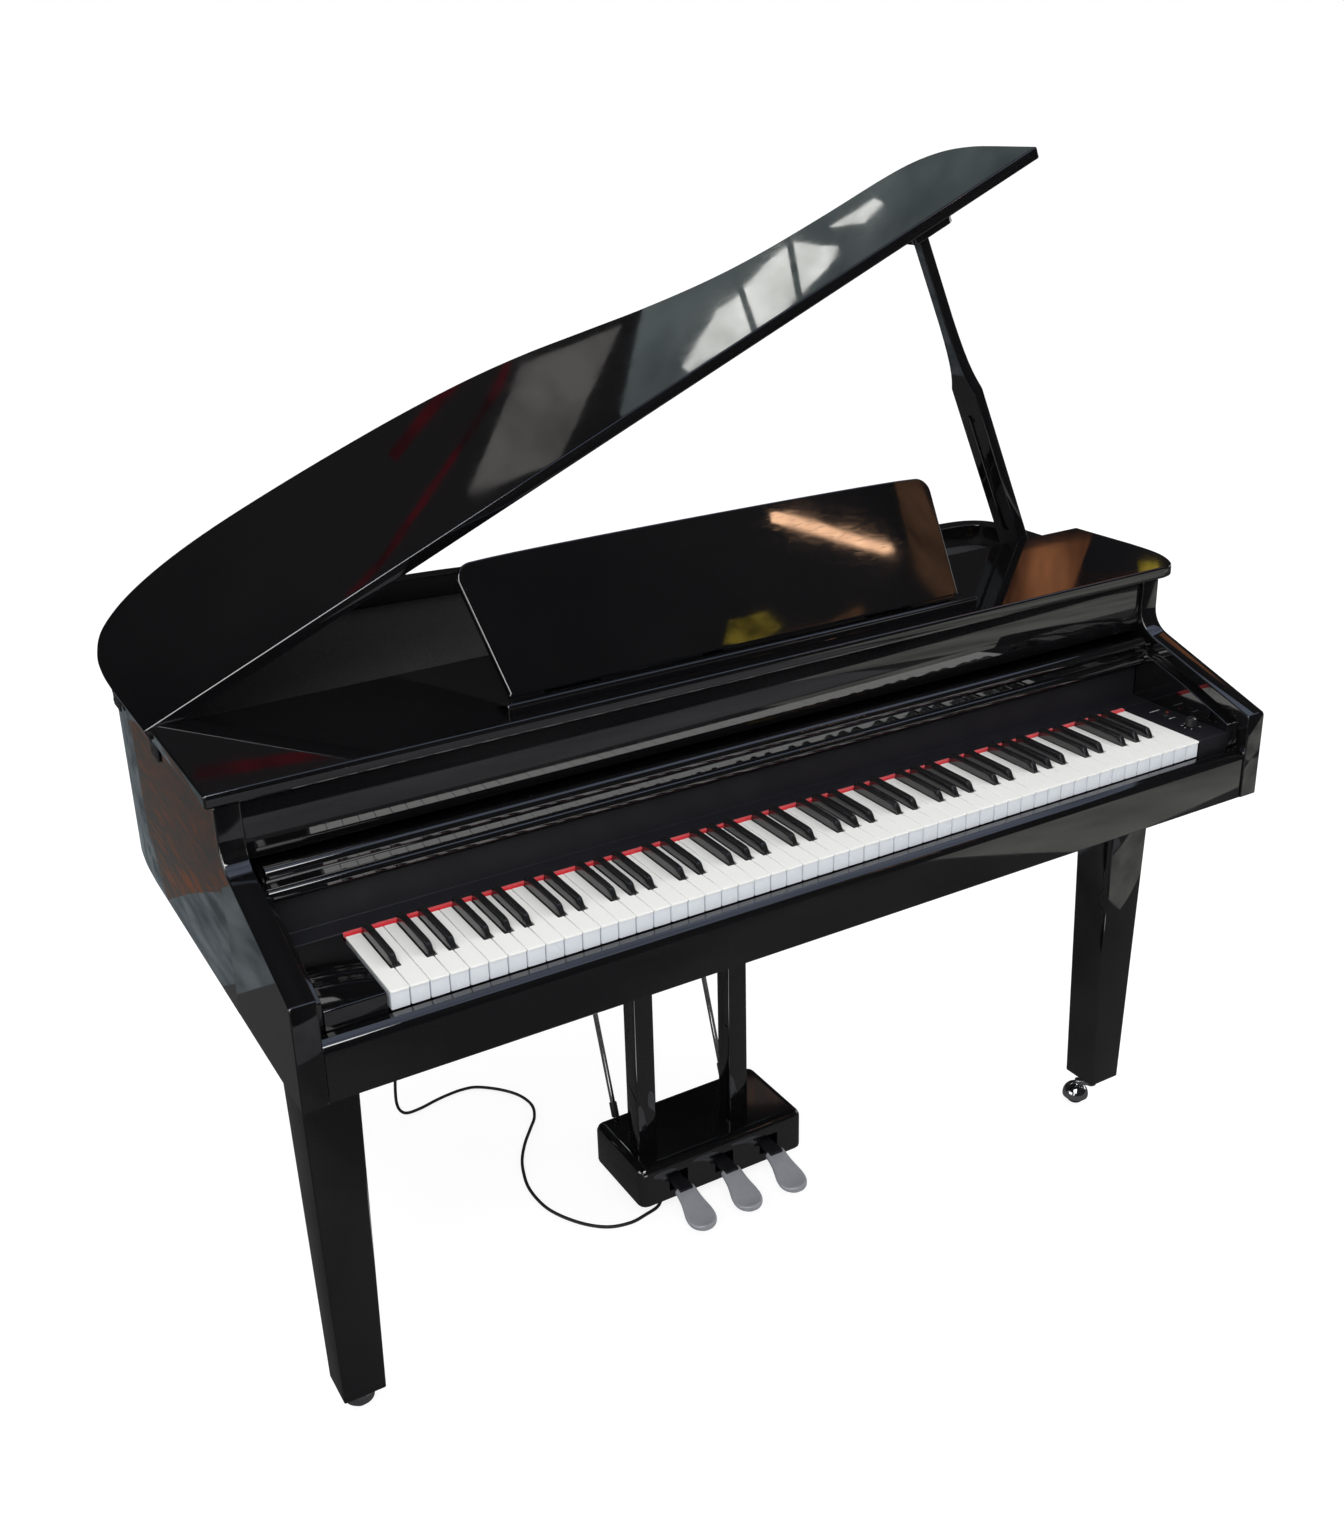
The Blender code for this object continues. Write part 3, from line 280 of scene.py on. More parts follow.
# %% [markdown]
# The finishes. The case is black polyester: a thick clear black lacquer that is sanded and polished,
# so it mirrors the room, with a faint waviness, hairlines from wiping and a little dust. Each finish
# is a node tree on Object coordinates, which are the piano's own place in metres.

# %% Finishes: the parts of a node tree
def finish(name, colour, roughness, metallic=0.0, ior=1.5):
    """A new finish with one Principled shader, its colour, roughness, metallic and IOR set."""
    made = bpy.data.materials.new(name)
    made.use_nodes = True
    shader = made.node_tree.nodes["Principled BSDF"]
    shader.inputs["Base Color"].default_value = (*colour, 1.0)
    shader.inputs["Roughness"].default_value = roughness
    shader.inputs["Metallic"].default_value = metallic
    shader.inputs["IOR"].default_value = ior
    return made


def joined(made, kind, inputs, **settings):
    """A node of a kind with its settings, each input a number, a colour or another node's output."""
    node = made.node_tree.nodes.new(kind)
    for key, value in settings.items():
        setattr(node, key, value)
    for key, value in inputs.items():
        if isinstance(value, bpy.types.NodeSocket):
            made.node_tree.links.new(value, node.inputs[key])
        else:
            node.inputs[key].default_value = value
    return node


def here(made, stretch=(1.0, 1.0, 1.0), turn=0.0):
    """Object coordinates, stretched along the three axes and turned about Z."""
    place = joined(made, "ShaderNodeTexCoord", {}).outputs["Object"]
    return joined(made, "ShaderNodeMapping", {"Vector": place, "Scale": stretch, "Rotation": (0.0, 0.0, turn)}
                  ).outputs["Vector"]


def noise(made, scale, detail=3.0, place=None, rough=0.5):
    """A noise between 0 and 1, with so many bumps to the metre."""
    return joined(made, "ShaderNodeTexNoise", {"Vector": place or here(made), "Scale": scale, "Detail": detail,
                                               "Roughness": rough}).outputs["Fac"]


def ranged(made, value, low, high, to_low, to_high):
    """A value's stretch from low to high, laid on another stretch."""
    return joined(made, "ShaderNodeMapRange", {"Value": value, "From Min": low, "From Max": high,
                                               "To Min": to_low, "To Max": to_high}).outputs["Result"]


def blended(made, share, first, second):
    """Two colours mixed by a share."""
    node = joined(made, "ShaderNodeMix", {"Factor": share}, data_type="RGBA")
    for socket, value in ((node.inputs[6], first), (node.inputs[7], second)):
        if isinstance(value, bpy.types.NodeSocket):
            made.node_tree.links.new(value, socket)
        else:
            socket.default_value = (*value, 1.0)
    return node.outputs[2]


def added(made, *values):
    """The sum of some values."""
    total = values[0]
    for value in values[1:]:
        total = joined(made, "ShaderNodeMath", {0: total, 1: value}, operation="ADD").outputs[0]
    return total


def into(made, socket, value):
    """A value led into a socket of the Principled shader."""
    made.node_tree.links.new(value, made.node_tree.nodes["Principled BSDF"].inputs[socket])


def bumped(made, height, distance, strength=1.0):
    """A height, in metres when it is 1, that tips the shading normal."""
    node = joined(made, "ShaderNodeBump", {"Height": height, "Distance": distance, "Strength": strength})
    into(made, "Normal", node.outputs["Normal"])


def specks(made, scale, share, place=None):
    """Small round spots, where the nearest random point is closer than a share of their spacing."""
    cells = joined(made, "ShaderNodeTexVoronoi", {"Vector": place or here(made), "Scale": scale}, feature="F1")
    return ranged(made, cells.outputs["Distance"], share, share * 0.5, 0.0, 1.0)


# %% Black polyester
POLYESTER = finish("black_polyester_polished", (0.004, 0.004, 0.0045), 0.04, ior=2.2)
hairlines = noise(POLYESTER, 60.0, 4.0, here(POLYESTER, (1.0, 14.0, 1.0), 0.5))
clouds = noise(POLYESTER, 9.0, 2.0)
into(POLYESTER, "Roughness", added(POLYESTER, ranged(POLYESTER, hairlines, 0.5, 0.75, 0.02, 0.06),
                                   ranged(POLYESTER, clouds, 0.4, 0.7, 0.0, 0.03)))
dust = joined(POLYESTER, "ShaderNodeMath", {0: specks(POLYESTER, 55.0, 0.035), 1: ranged(
    POLYESTER, noise(POLYESTER, 5.0), 0.5, 0.6, 0.0, 1.0)}, operation="MULTIPLY").outputs[0]
into(POLYESTER, "Base Color", blended(POLYESTER, dust, (0.004, 0.004, 0.0045), (0.12, 0.12, 0.12)))
bumped(POLYESTER, noise(POLYESTER, 14.0, 1.0), 0.00012, 0.35)

# %% Matte black, black plastic and satin black keys
MATTE = finish("matte_black_paint", (0.012, 0.012, 0.013), 0.5)
grain = noise(MATTE, 900.0, 2.0)
into(MATTE, "Roughness", ranged(MATTE, grain, 0.3, 0.7, 0.42, 0.58))
into(MATTE, "Base Color", blended(MATTE, noise(MATTE, 30.0), (0.006, 0.006, 0.009), (0.012, 0.012, 0.016)))
bumped(MATTE, grain, 0.00004, 0.5)

SHARPS = finish("black_key_satin", (0.010, 0.010, 0.011), 0.3, ior=1.9)
into(SHARPS, "Roughness", ranged(SHARPS, noise(SHARPS, 500.0, 3.0, here(SHARPS, (1.0, 0.06, 1.0))), 0.3, 0.7,
                                 0.14, 0.24))
into(SHARPS, "Base Color", blended(SHARPS, noise(SHARPS, 80.0), (0.008, 0.008, 0.009), (0.014, 0.014, 0.015)))
bumped(SHARPS, noise(SHARPS, 800.0, 2.0, here(SHARPS, (1.0, 0.1, 1.0))), 0.000004, 0.3)

PLASTIC = finish("black_plastic_satin", (0.018, 0.018, 0.019), 0.34)
into(PLASTIC, "Roughness", ranged(PLASTIC, noise(PLASTIC, 700.0, 2.0), 0.3, 0.7, 0.28, 0.42))
into(PLASTIC, "Base Color", blended(PLASTIC, noise(PLASTIC, 90.0), (0.014, 0.014, 0.015), (0.024, 0.024, 0.026)))
bumped(PLASTIC, noise(PLASTIC, 1200.0, 2.0), 0.00003, 0.4)

# %% White keys, red felt and speaker cloth
NATURALS = finish("white_key_top", (0.86, 0.86, 0.84), 0.16, ior=1.49)
into(NATURALS, "Roughness", ranged(NATURALS, noise(NATURALS, 40.0), 0.3, 0.7, 0.12, 0.24))
into(NATURALS, "Base Color", blended(NATURALS, noise(NATURALS, 6.0), (0.94, 0.94, 0.92), (0.89, 0.89, 0.87)))
bumped(NATURALS, noise(NATURALS, 30.0, 1.0), 0.00005, 0.2)
# The key fronts get a darker, bluer white than the tops: painted shade on the upright fronts, with a painted bluish
# skylight reflection.
KEY_FRONT_PAINTED_SHADE = finish("white_key_front_painted_shade", (0.74, 0.78, 0.82), 0.2, ior=1.49)
into(KEY_FRONT_PAINTED_SHADE, "Base Color", blended(KEY_FRONT_PAINTED_SHADE, noise(KEY_FRONT_PAINTED_SHADE, 25.0), (0.76, 0.80, 0.84), (0.70, 0.74, 0.79)))
into(KEY_FRONT_PAINTED_SHADE, "Roughness", ranged(KEY_FRONT_PAINTED_SHADE, noise(KEY_FRONT_PAINTED_SHADE, 60.0), 0.3, 0.7, 0.16, 0.3))

FELT = finish("red_felt_strip", (0.60, 0.008, 0.015), 0.95)
fuzz = noise(FELT, 2500.0, 4.0)
into(FELT, "Base Color", blended(FELT, fuzz, (0.55, 0.003, 0.010), (0.80, 0.008, 0.025)))
FELT.node_tree.nodes["Principled BSDF"].inputs["Sheen Weight"].default_value = 0.4
bumped(FELT, fuzz, 0.0004, 0.8)

CLOTH = finish("speaker_cloth_weave", (0.05, 0.05, 0.055), 0.9)
threads = joined(CLOTH, "ShaderNodeTexVoronoi", {"Vector": here(CLOTH), "Scale": 620.0}, feature="F1").outputs["Distance"]
into(CLOTH, "Base Color", blended(CLOTH, added(CLOTH, ranged(CLOTH, threads, 0.1, 0.6, 0.0, 0.7),
                                               ranged(CLOTH, noise(CLOTH, 300.0), 0.5, 0.75, 0.0, 0.5)),
                                  (0.006, 0.006, 0.007), (0.05, 0.05, 0.054)))
bumped(CLOTH, threads, 0.0003, 0.8)

# %% Metals and cable
CHROME = finish("chrome_plate", (0.78, 0.79, 0.81), 0.08, 1.0)
into(CHROME, "Roughness", ranged(CHROME, noise(CHROME, 120.0, 4.0), 0.35, 0.7, 0.05, 0.16))
into(CHROME, "Base Color", blended(CHROME, noise(CHROME, 40.0), (0.80, 0.81, 0.83), (0.70, 0.71, 0.73)))
SATIN = finish("satin_nickel", (0.62, 0.62, 0.63), 0.34, 1.0)
brushing = noise(SATIN, 500.0, 3.0, here(SATIN, (1.0, 0.03, 1.0)))
into(SATIN, "Roughness", ranged(SATIN, brushing, 0.3, 0.7, 0.28, 0.44))
into(SATIN, "Base Color", blended(SATIN, noise(SATIN, 60.0), (0.66, 0.67, 0.69), (0.56, 0.57, 0.60)))
bumped(SATIN, brushing, 0.00002, 0.5)
BRASS = finish("worn_brass", (0.65, 0.45, 0.18), 0.25, 1.0)
into(BRASS, "Roughness", ranged(BRASS, noise(BRASS, 90.0, 4.0), 0.3, 0.7, 0.16, 0.40))
into(BRASS, "Base Color", blended(BRASS, noise(BRASS, 35.0), (0.70, 0.49, 0.20), (0.45, 0.30, 0.12)))
SHOE_METAL = finish("cast_pedal_metal", (0.55, 0.56, 0.60), 0.4, 0.35)
into(SHOE_METAL, "Roughness", ranged(SHOE_METAL, noise(SHOE_METAL, 260.0, 4.0), 0.3, 0.7, 0.34, 0.46))
into(SHOE_METAL, "Base Color", blended(SHOE_METAL, noise(SHOE_METAL, 70.0), (0.46, 0.47, 0.51), (0.36, 0.37, 0.41)))
bumped(SHOE_METAL, noise(SHOE_METAL, 180.0, 3.0), 0.00001, 0.3)
MARK = finish("printed_white_mark", (0.72, 0.72, 0.70), 0.5)
into(MARK, "Base Color", blended(MARK, noise(MARK, 900.0), (0.92, 0.92, 0.90), (0.80, 0.80, 0.78)))
LIGHT = finish("red_light_mark", (0.75, 0.09, 0.03), 0.35)
into(LIGHT, "Base Color", blended(LIGHT, noise(LIGHT, 700.0), (0.80, 0.12, 0.04), (0.62, 0.06, 0.02)))
CABLE = finish("cable_sheath", (0.015, 0.015, 0.015), 0.45)
into(CABLE, "Roughness", ranged(CABLE, noise(CABLE, 200.0), 0.3, 0.7, 0.38, 0.55))
into(CABLE, "Base Color", blended(CABLE, noise(CABLE, 50.0), (0.012, 0.012, 0.012), (0.022, 0.022, 0.022)))
cord_curve.materials.append(CABLE)
print(len(bpy.data.materials), "finishes with the packed ones")

# %% [markdown]
# The case. Its side is one bent wall, the rim: straight along the spine on the bass side, round at
# the tail, and drawn in by an S on the treble side. The lid has the same line a little further out.
# One smooth line through a few measured points gives the lid, and the same line moved inwards gives
# the rim, as a maker bends the rim round a form and cuts the lid to overhang it.

# %% Lines of the lid and the rim
RIM_TOP, SHELF_TOP, BODY_BOTTOM, BOTTOM_UNDER = 891.0, 909.0, 619.0, 621.0
LID_FRONT, LID_LEFT, LID_RIGHT = 422.0, -127.0, 1381.0
LEFT_OUT, LEFT_IN, RIGHT_IN, RIGHT_OUT = -117.0, -86.0, 1290.0, 1321.0
WALL, TRACK = 30.0, 11.0
BENTSIDE = [(LID_RIGHT, 505), (1378, 560), (1361, 607), (1322, 637), (1262, 648), (1150, 651), (1030, 661),
            (940, 684), (850, 728), (765, 785), (680, 842), (590, 883), (480, 911), (360, 926), (240, 932),
            (130, 928), (40, 908), (-35, 868), (-88, 808), (-114, 735), (-124, 665), (LID_LEFT, 590)]
lid_line = np.vstack([[[LID_RIGHT, LID_FRONT]], flowing(BENTSIDE, 9), [[LID_LEFT, LID_FRONT]]])


def moved_in(line, distance):
    """An open line moved to its left; the distance may differ from point to point."""
    along = np.gradient(line, axis=0)
    along /= np.linalg.norm(along, axis=1, keepdims=True)
    return line + np.stack([-along[:, 1], along[:, 0]], -1) * np.reshape(distance, (-1, 1))


share = np.clip((lid_line[:, 0] - LID_LEFT - 12.0) / 160.0, 0.0, 1.0)
overhang = 10.0 + 18.0 * share ** 2 * (3 - 2 * share)
bend = moved_in(lid_line, overhang)[1:-1]
rim_out = np.vstack([flowing([(RIGHT_OUT, 200.3), (1327, 270), (1346, 350), tuple(bend[0])], 9)[:-1], bend,
                     [[LEFT_OUT, 200.3]]])
rim_in = moved_in(rim_out, np.full(len(rim_out), WALL))
rim_in[0], rim_in[-1] = (RIGHT_OUT - WALL, 200.3), (LEFT_OUT + WALL, 200.3)
print(len(rim_out), "points round the rim")


# %% [markdown]
# The lid is one board whose under edge is rounded as softly as its top. It hangs on two hinges on the
# bass side and stands open by 23.3 degrees, so it is drawn shut first and then turned about them.

# %% Lid
HINGE = np.array([-121.0, 422.0, RIM_TOP])
LID_ANGLE = 23.3


def opened(points):
    """Points of the shut lid carried up with it."""
    return spun(points, -LID_ANGLE, HINGE, "Y")


lid_ring = fillet(lid_line, np.concatenate([[3.0], np.zeros(len(lid_line) - 2), [3.0]]))
lid = shell("lid_board", opened(board(lid_ring, RIM_TOP + 0.3, RIM_TOP + 18.0, 2.5, 5)), "lid", POLYESTER,
            "lid")
print("lid", len(lid.data.polygons), "faces")

# %% [markdown]
# The rim is the same strip round the case: an outer line, an inner line and a softly rounded top.

# %% Rim
rim_ring = fillet(np.vstack([rim_out, rim_in[::-1]]), 0.0)
rim = shell("case_rim", board(rim_ring, BODY_BOTTOM, RIM_TOP, 1.5, 4), "case", POLYESTER, "rim")
print("rim", len(rim.data.polygons), "faces")

# %% [markdown]
# The arms are the two cheeks beside the keys: a board whose upper edge slopes down from a post at the
# shelf to a blunt front. The strips on their inner sides carry the sliding key cover.

# %% Arms and tracks
arm_outline = fillet([(-24.0, 619.0), (202.6, 619.0), (202.6, 890.4), (187.0, 890.4), (187.0, 821.3),
                      (-22.5, 745.6), (-24.0, 741.0)], [2.6, 2.6, 2.6, 2.6, 38.0, 4.0, 0.0], 7)
track_outline = fillet([(2.0, 652.4), (178.0, 652.4), (178.0, 793.0), (150.0, 783.0), (87.0, 761.0), (2.0, 727.0)],
                       [1.6, 1.6, 1.6, 0.0, 0.0, 3.0], 4)
for side, cheek, strip in (("left", (LEFT_OUT, LEFT_IN - 0.3), (LEFT_IN - 2.0, LEFT_IN + TRACK)),
                           ("right", (RIGHT_IN + 0.3, RIGHT_OUT), (RIGHT_IN - TRACK, RIGHT_IN + 2.0))):
    shell("cheek_" + side, [board(arm_outline, *cheek, 2.0, 5, "X"), board(track_outline, *strip, 0.9, 3, "X")],
          "case", POLYESTER, "arm_" + side)
print("arms and tracks stand")

# %% [markdown]
# The fixed shelf across the top carries the music desk, and the front panel hangs under it. Its front
# corner on the treble side is drawn round, as the lid's line begins there.

# %% Music shelf and front panel
shelf_corner = flowing([(1326, 182), (1347, 189), (1366, 216), (1377, 251), (1381, 300)], 6)
shelf_ring = np.vstack([[(LID_LEFT, 420.0), (LID_LEFT, 182.0)], shelf_corner, [(LID_RIGHT, 420.0)]])
shelf_ring = fillet(shelf_ring, np.concatenate([[3.8, 3.8], np.zeros(len(shelf_corner)), [3.8]]), 5)
panel_block = block((LEFT_IN + 0.3, 192.0, 816.0), (RIGHT_IN - 0.3, 199.7, 892.0), 0.8, 3)
shelf = shell("shelf_and_front_panel", [board(shelf_ring, RIM_TOP + 0.3, SHELF_TOP, 3.0, 6), panel_block], "case",
              POLYESTER, "music_shelf")
print("shelf", len(shelf.data.polygons), "faces")

# %% [markdown]
# Under the keys runs the keyslip, a rail with a bevelled lip; behind them the matte nameboard, an L
# with a low rail at its foot. At each end of the keys sits a block: polished on the bass side, a
# matte control panel on the treble side.

# %% Keyslip, nameboard and blocks
keyslip_outline = fillet([(-1.6, 652.0), (-1.6, 691.4), (-11.0, 691.4), (-19.6, 686.4), (-22.0, 679.6),
                          (-22.0, 619.2), (14.0, 619.2), (14.0, 652.0)],
                         [1.0, 0.8, 1.2, 10.0, 0.5, 1.6, 1.2, 1.2], 6)
shell("keyslip_rail", board(keyslip_outline, LEFT_IN + 0.3, RIGHT_IN - 0.3, 0.6, 3, "X"), "case", POLYESTER,
      "keyslip")
nameboard_outline = fillet([(147.0, 711.0), (188.0, 711.0), (188.0, 762.0), (178.6, 762.0), (178.6, 717.2),
                            (147.0, 717.2)], [0.8, 0.8, 1.2, 1.2, 1.0, 1.2], 4)
shell("nameboard_strip", board(nameboard_outline, LEFT_IN + TRACK + 0.3, RIGHT_IN - TRACK - 0.3, 0.4, 3, "X"),
      "case", MATTE, "nameboard")
block_outline = fillet([(0.5, 658.0), (146.7, 658.0), (146.7, 716.4), (0.5, 716.4)], [0.8, 0.8, 0.8, 2.4], 5)
shell("bass_key_block", board(block_outline, LEFT_IN + TRACK + 0.3, -3.4, 0.8, 3, "X"), "case", POLYESTER,
      "key_block_left")
print("keyslip, nameboard and bass block lie in place")

# %% [markdown]
# The key cover is pushed back: only its front edge shows under the front panel, a lip with two half
# round mouldings, one over the other. A strip of one section is the natural form.

# %% Key cover
COVER_SLOPE = np.tan(np.radians(15.0))
COVER_ENDS = (LEFT_IN + TRACK + 1.0, RIGHT_IN - TRACK - 1.0)
cover_outline = fillet([(174.0, 777.0), (372.0, 777.0 + 196.0 * COVER_SLOPE), (372.0, 786.0 + 196.0 * COVER_SLOPE),
                        (174.0, 786.0)], 0.8, 3)


def circle_part(centre, radius, start, end, count=12):
    """Points of a circle between two angles in degrees."""
    turn = np.radians(np.linspace(start, end, count))
    return np.array(centre) + radius * np.stack([np.cos(turn), np.sin(turn)], -1)


lip_outline = np.vstack([[(176.0, 766.5), (176.0, 811.0), (173.0, 811.0)], circle_part((171.0, 803.0), 8.0, 75, 250),
                         [(170.5, 792.0), (170.5, 784.0)], circle_part((171.0, 776.0), 8.0, 110, 270),
                         [(172.0, 766.5)]])
cover = shell("sliding_key_cover", [board(cover_outline, *COVER_ENDS, 0.6, 3, "X"),
                                    board(lip_outline, *COVER_ENDS, 0.5, 3, "X", 0.3)], "key_cover", POLYESTER,
              "key_cover", sharp=28.0)
print("key cover", len(cover.data.polygons), "faces")

# %% [markdown]
# The keyboard: 52 white and 36 black keys. A white key is a top plate that reaches a little over a
# separate front, with notches for its black neighbours. A black key is a bar whose sides and front
# slope in towards a narrow top. The keys of the middle octave stand apart, as they move by themselves.

# %% White keys
KEY_TOP, PITCH, KEY_GAP, KEY_LENGTH = 716.0, 23.5, 1.0, 139.0
BLACK_FRONT, BLACK_RISE, BLACK_WIDTH = 47.0, 12.0, 11.0
BLACK_SHIFT = {0: -1.6, 1: 1.6, 3: -2.2, 4: 0.0, 5: 2.2}


def black_middle(index):
    """The middle of the black key after a white one, or None where there is none. C is step 0."""
    step = (index - 2) % 7
    return (index + 1) * PITCH + BLACK_SHIFT[step] if step in BLACK_SHIFT and 0 <= index < 51 else None


def white_key(index):
    """A white key's two closed parts: the top plate, and the front and body under it."""
    left, right = index * PITCH + KEY_GAP / 2, (index + 1) * PITCH - KEY_GAP / 2
    low, high = black_middle(index - 1), black_middle(index)
    inner_left = left if low is None else low + BLACK_WIDTH / 2 + 1.0
    inner_right = right if high is None else high - BLACK_WIDTH / 2 - 1.0
    notch = BLACK_FRONT - 1.5
    corners, rounds = [(left, 0.0), (right, 0.0)], [1.6, 1.6]
    if high is not None:
        corners, rounds = corners + [(right, notch), (inner_right, notch)], rounds + [1.2, 1.2]
    corners, rounds = corners + [(inner_right, KEY_LENGTH), (inner_left, KEY_LENGTH)], rounds + [0.8, 0.8]
    if low is not None:
        corners, rounds = corners + [(inner_left, notch), (left, notch)], rounds + [1.2, 1.2]
    ring = fillet(corners, rounds, 3)
    under = ring + np.where(ring[:, 1:] < 10.0, 1.2, 0.0) * np.array([[0.0, 1.0]])
    return [board(ring, KEY_TOP - 2.6, KEY_TOP, [0.4, 0.7], 2, strip=0.2),
            board(drawn_in(under, 0.15), KEY_TOP - 24.0, KEY_TOP - 2.7, 0.2, 1, strip=0.2)]


def black_key(index):
    """A black key's rings from its foot to its top: the sides close in and the front leans back, and
    the last few rings round the upper edges."""
    middle = black_middle(index)
    height = np.array([-30.0, 0.0, 8.6, 10.4, 11.5, 11.9, 12.0])
    half = np.array([5.5, 5.3, 4.75, 4.5, 4.0, 3.3, 2.6])
    front = np.array([47.0, 47.6, 52.4, 53.8, 55.2, 56.6, 58.0])
    back = np.full(7, KEY_LENGTH)
    unit = fillet([(-1, -1), (1, -1), (1, 1), (-1, 1)], [0.34, 0.34, 0.05, 0.05], 4)
    x = middle + unit[None, :, 0] * half[:, None]
    deep = (unit[None, :, 1] + 1) / 2
    y = front[:, None] + deep * (back - front)[:, None]
    return [np.stack([x, y, np.broadcast_to(KEY_TOP + height[:, None], x.shape)], -1)]


MIDDLE_C = 23
for side, first, last in (("bass", 0, MIDDLE_C), ("treble", MIDDLE_C + 7, 52)):
    whites = [part for index in range(first, last) for part in white_key(index)]
    blacks = [part for index in range(first, last - 1) if black_middle(index) is not None
              for part in black_key(index)]
    shell("naturals_" + side, whites, "case", [NATURALS, KEY_FRONT_PAINTED_SHADE], "keys_" + side, 40.0,
          [0, 1] * (last - first))
    shell("sharps_row_" + side, blacks, "case", SHARPS, "sharps_" + side, 40.0)
    print(side, last - first, "white keys and", len(blacks), "black keys stand still")
NAMES = ("c", "d", "e", "f", "g", "a", "b")
for step, letter in enumerate(NAMES):
    index = MIDDLE_C + step
    shell("white_" + letter + "4", white_key(index), "key_" + letter + "4", [NATURALS, KEY_FRONT_PAINTED_SHADE],
          "key_" + letter + "4", 40.0, [0, 1])
    if step < 6 and black_middle(index) is not None:
        shell("black_" + letter + "_sharp4", black_key(index), "key_" + letter + "_sharp4", SHARPS,
              "key_" + letter + "_sharp4", 40.0)
print("the middle octave's keys move one by one")

# %% Red felt
shell("red_felt_line", block((0.0, 139.6, 712.6), (1222.0, 146.6, 718.2), 0.6, 2), "case", FELT,
      "key_felt")

# %% [markdown]
# The music desk leans back on one strut. Its board has round upper corners and a slightly arched
# head; a low ledge with a raised lip in front of it keeps the sheets from sliding off.

# %% Music desk, ledge and strut
DESK = np.array([616.0, 255.0, 912.7])
DESK_ANGLE, DESK_HALF, DESK_TALL, STRUT = 61.0, 363.0, 172.0, 80.0
crown_turn = np.radians(np.linspace(12.0, 168.0, 27))
crown = np.stack([DESK_HALF * 0.93 * np.cos(crown_turn), DESK_TALL + 4.0 * np.sin(crown_turn)], -1)
desk_outline = np.vstack([fillet([(-DESK_HALF, -4.0), (DESK_HALF, -4.0), (DESK_HALF + 6.0, DESK_TALL)],
                                 [2.6, 2.6, 0.0], 5)[:-1],
                          circle_part((DESK_HALF - 16.0, DESK_TALL - 22.0), 22.0, 0, 84, 9), crown,
                          circle_part((-DESK_HALF + 16.0, DESK_TALL - 22.0), 22.0, 96, 180, 9)])
desk_grid = board(desk_outline, 3.0, 15.0, 1.8, 5)
knuckles = [turned([(3.3, -40.0), (3.3, 40.0)], (x, 0.0, 0.0), 20, "X") for x in (-250.0, 250.0)]


def leaned(points):
    """Points of the desk lying on its hinge line, turned up to its lean and put on the shelf."""
    return spun(points, DESK_ANGLE, (0.0, 0.0, 0.0), "X") + DESK


desk = shell("leaning_music_desk", [leaned(desk_grid)] + [leaned(k) for k in knuckles], "desk", [POLYESTER, SATIN],
             "music_desk", parts=[0, 1, 1])
ledge_outline = fillet([(204.0, 909.3), (236.0, 909.3), (236.0, 914.0), (211.0, 914.0), (211.0, 919.0),
                        (209.0, 921.6), (206.0, 921.6), (204.0, 919.0)],
                       [0.4, 0.4, 0.8, 1.0, 0.8, 1.0, 1.0, 0.8], 4)
shell("desk_ledge_strip", board(ledge_outline, 253.0, 982.0, 0.8, 3, "X"), "case", POLYESTER,
      "desk_ledge")
strut_top = DESK + STRUT * np.array([0.0, np.cos(np.radians(DESK_ANGLE)), np.sin(np.radians(DESK_ANGLE))])
strut_parts = [block((-18.0, 0.0, -1.6), (18.0, STRUT + 2.0, 1.6), 0.5, 2, 1.5),
               turned(soft_profile([(2.6, -18.0), (2.6, 18.0)], 0.4, 3), (0.0, 0.0, 0.0), 24, "X")]
shell("folding_desk_strut", [spun(part, -DESK_ANGLE, (0.0, 0.0, 0.0), "X") + strut_top for part in strut_parts],
      "strut", SATIN, "desk_strut")
print("desk", len(desk.data.polygons), "faces")

# %% [markdown]
# The lyre carries the three pedals under the case: a polished box on two posts, held from behind by
# two slanted chromed rods. The box is a block with a generously rounded top; the openings for the
# pedals are sawn into it, which a Boolean does here.

# %% Pedal box and posts
BOX_LOW, BOX_HIGH = (456.0, 289.0, 30.0), (750.0, 437.0, 98.0)
PEDALS = {"soft": 521.0, "sostenuto": 603.0, "damper": 685.0}


def carved(piece, grids):
    """A piece with other closed surfaces sawn out of it. The cut shape becomes the piece's own mesh."""
    saw = bpy.data.objects.new("saw", ring_mesh("saw", grids))
    bpy.context.scene.collection.objects.link(saw)
    cut = piece.modifiers.new("cut", "BOOLEAN")
    cut.object, cut.operation, cut.solver = saw, "DIFFERENCE", "EXACT"
    bpy.context.view_layer.update()
    done = bpy.data.meshes.new_from_object(piece.evaluated_get(bpy.context.evaluated_depsgraph_get()))
    piece.modifiers.clear()
    old, piece.data = piece.data, done
    done.name = piece.name
    bpy.data.meshes.remove(old)
    bpy.data.objects.remove(saw)
    done.shade_smooth()
    done.set_sharp_from_angle(angle=np.radians(35.0))
    return piece


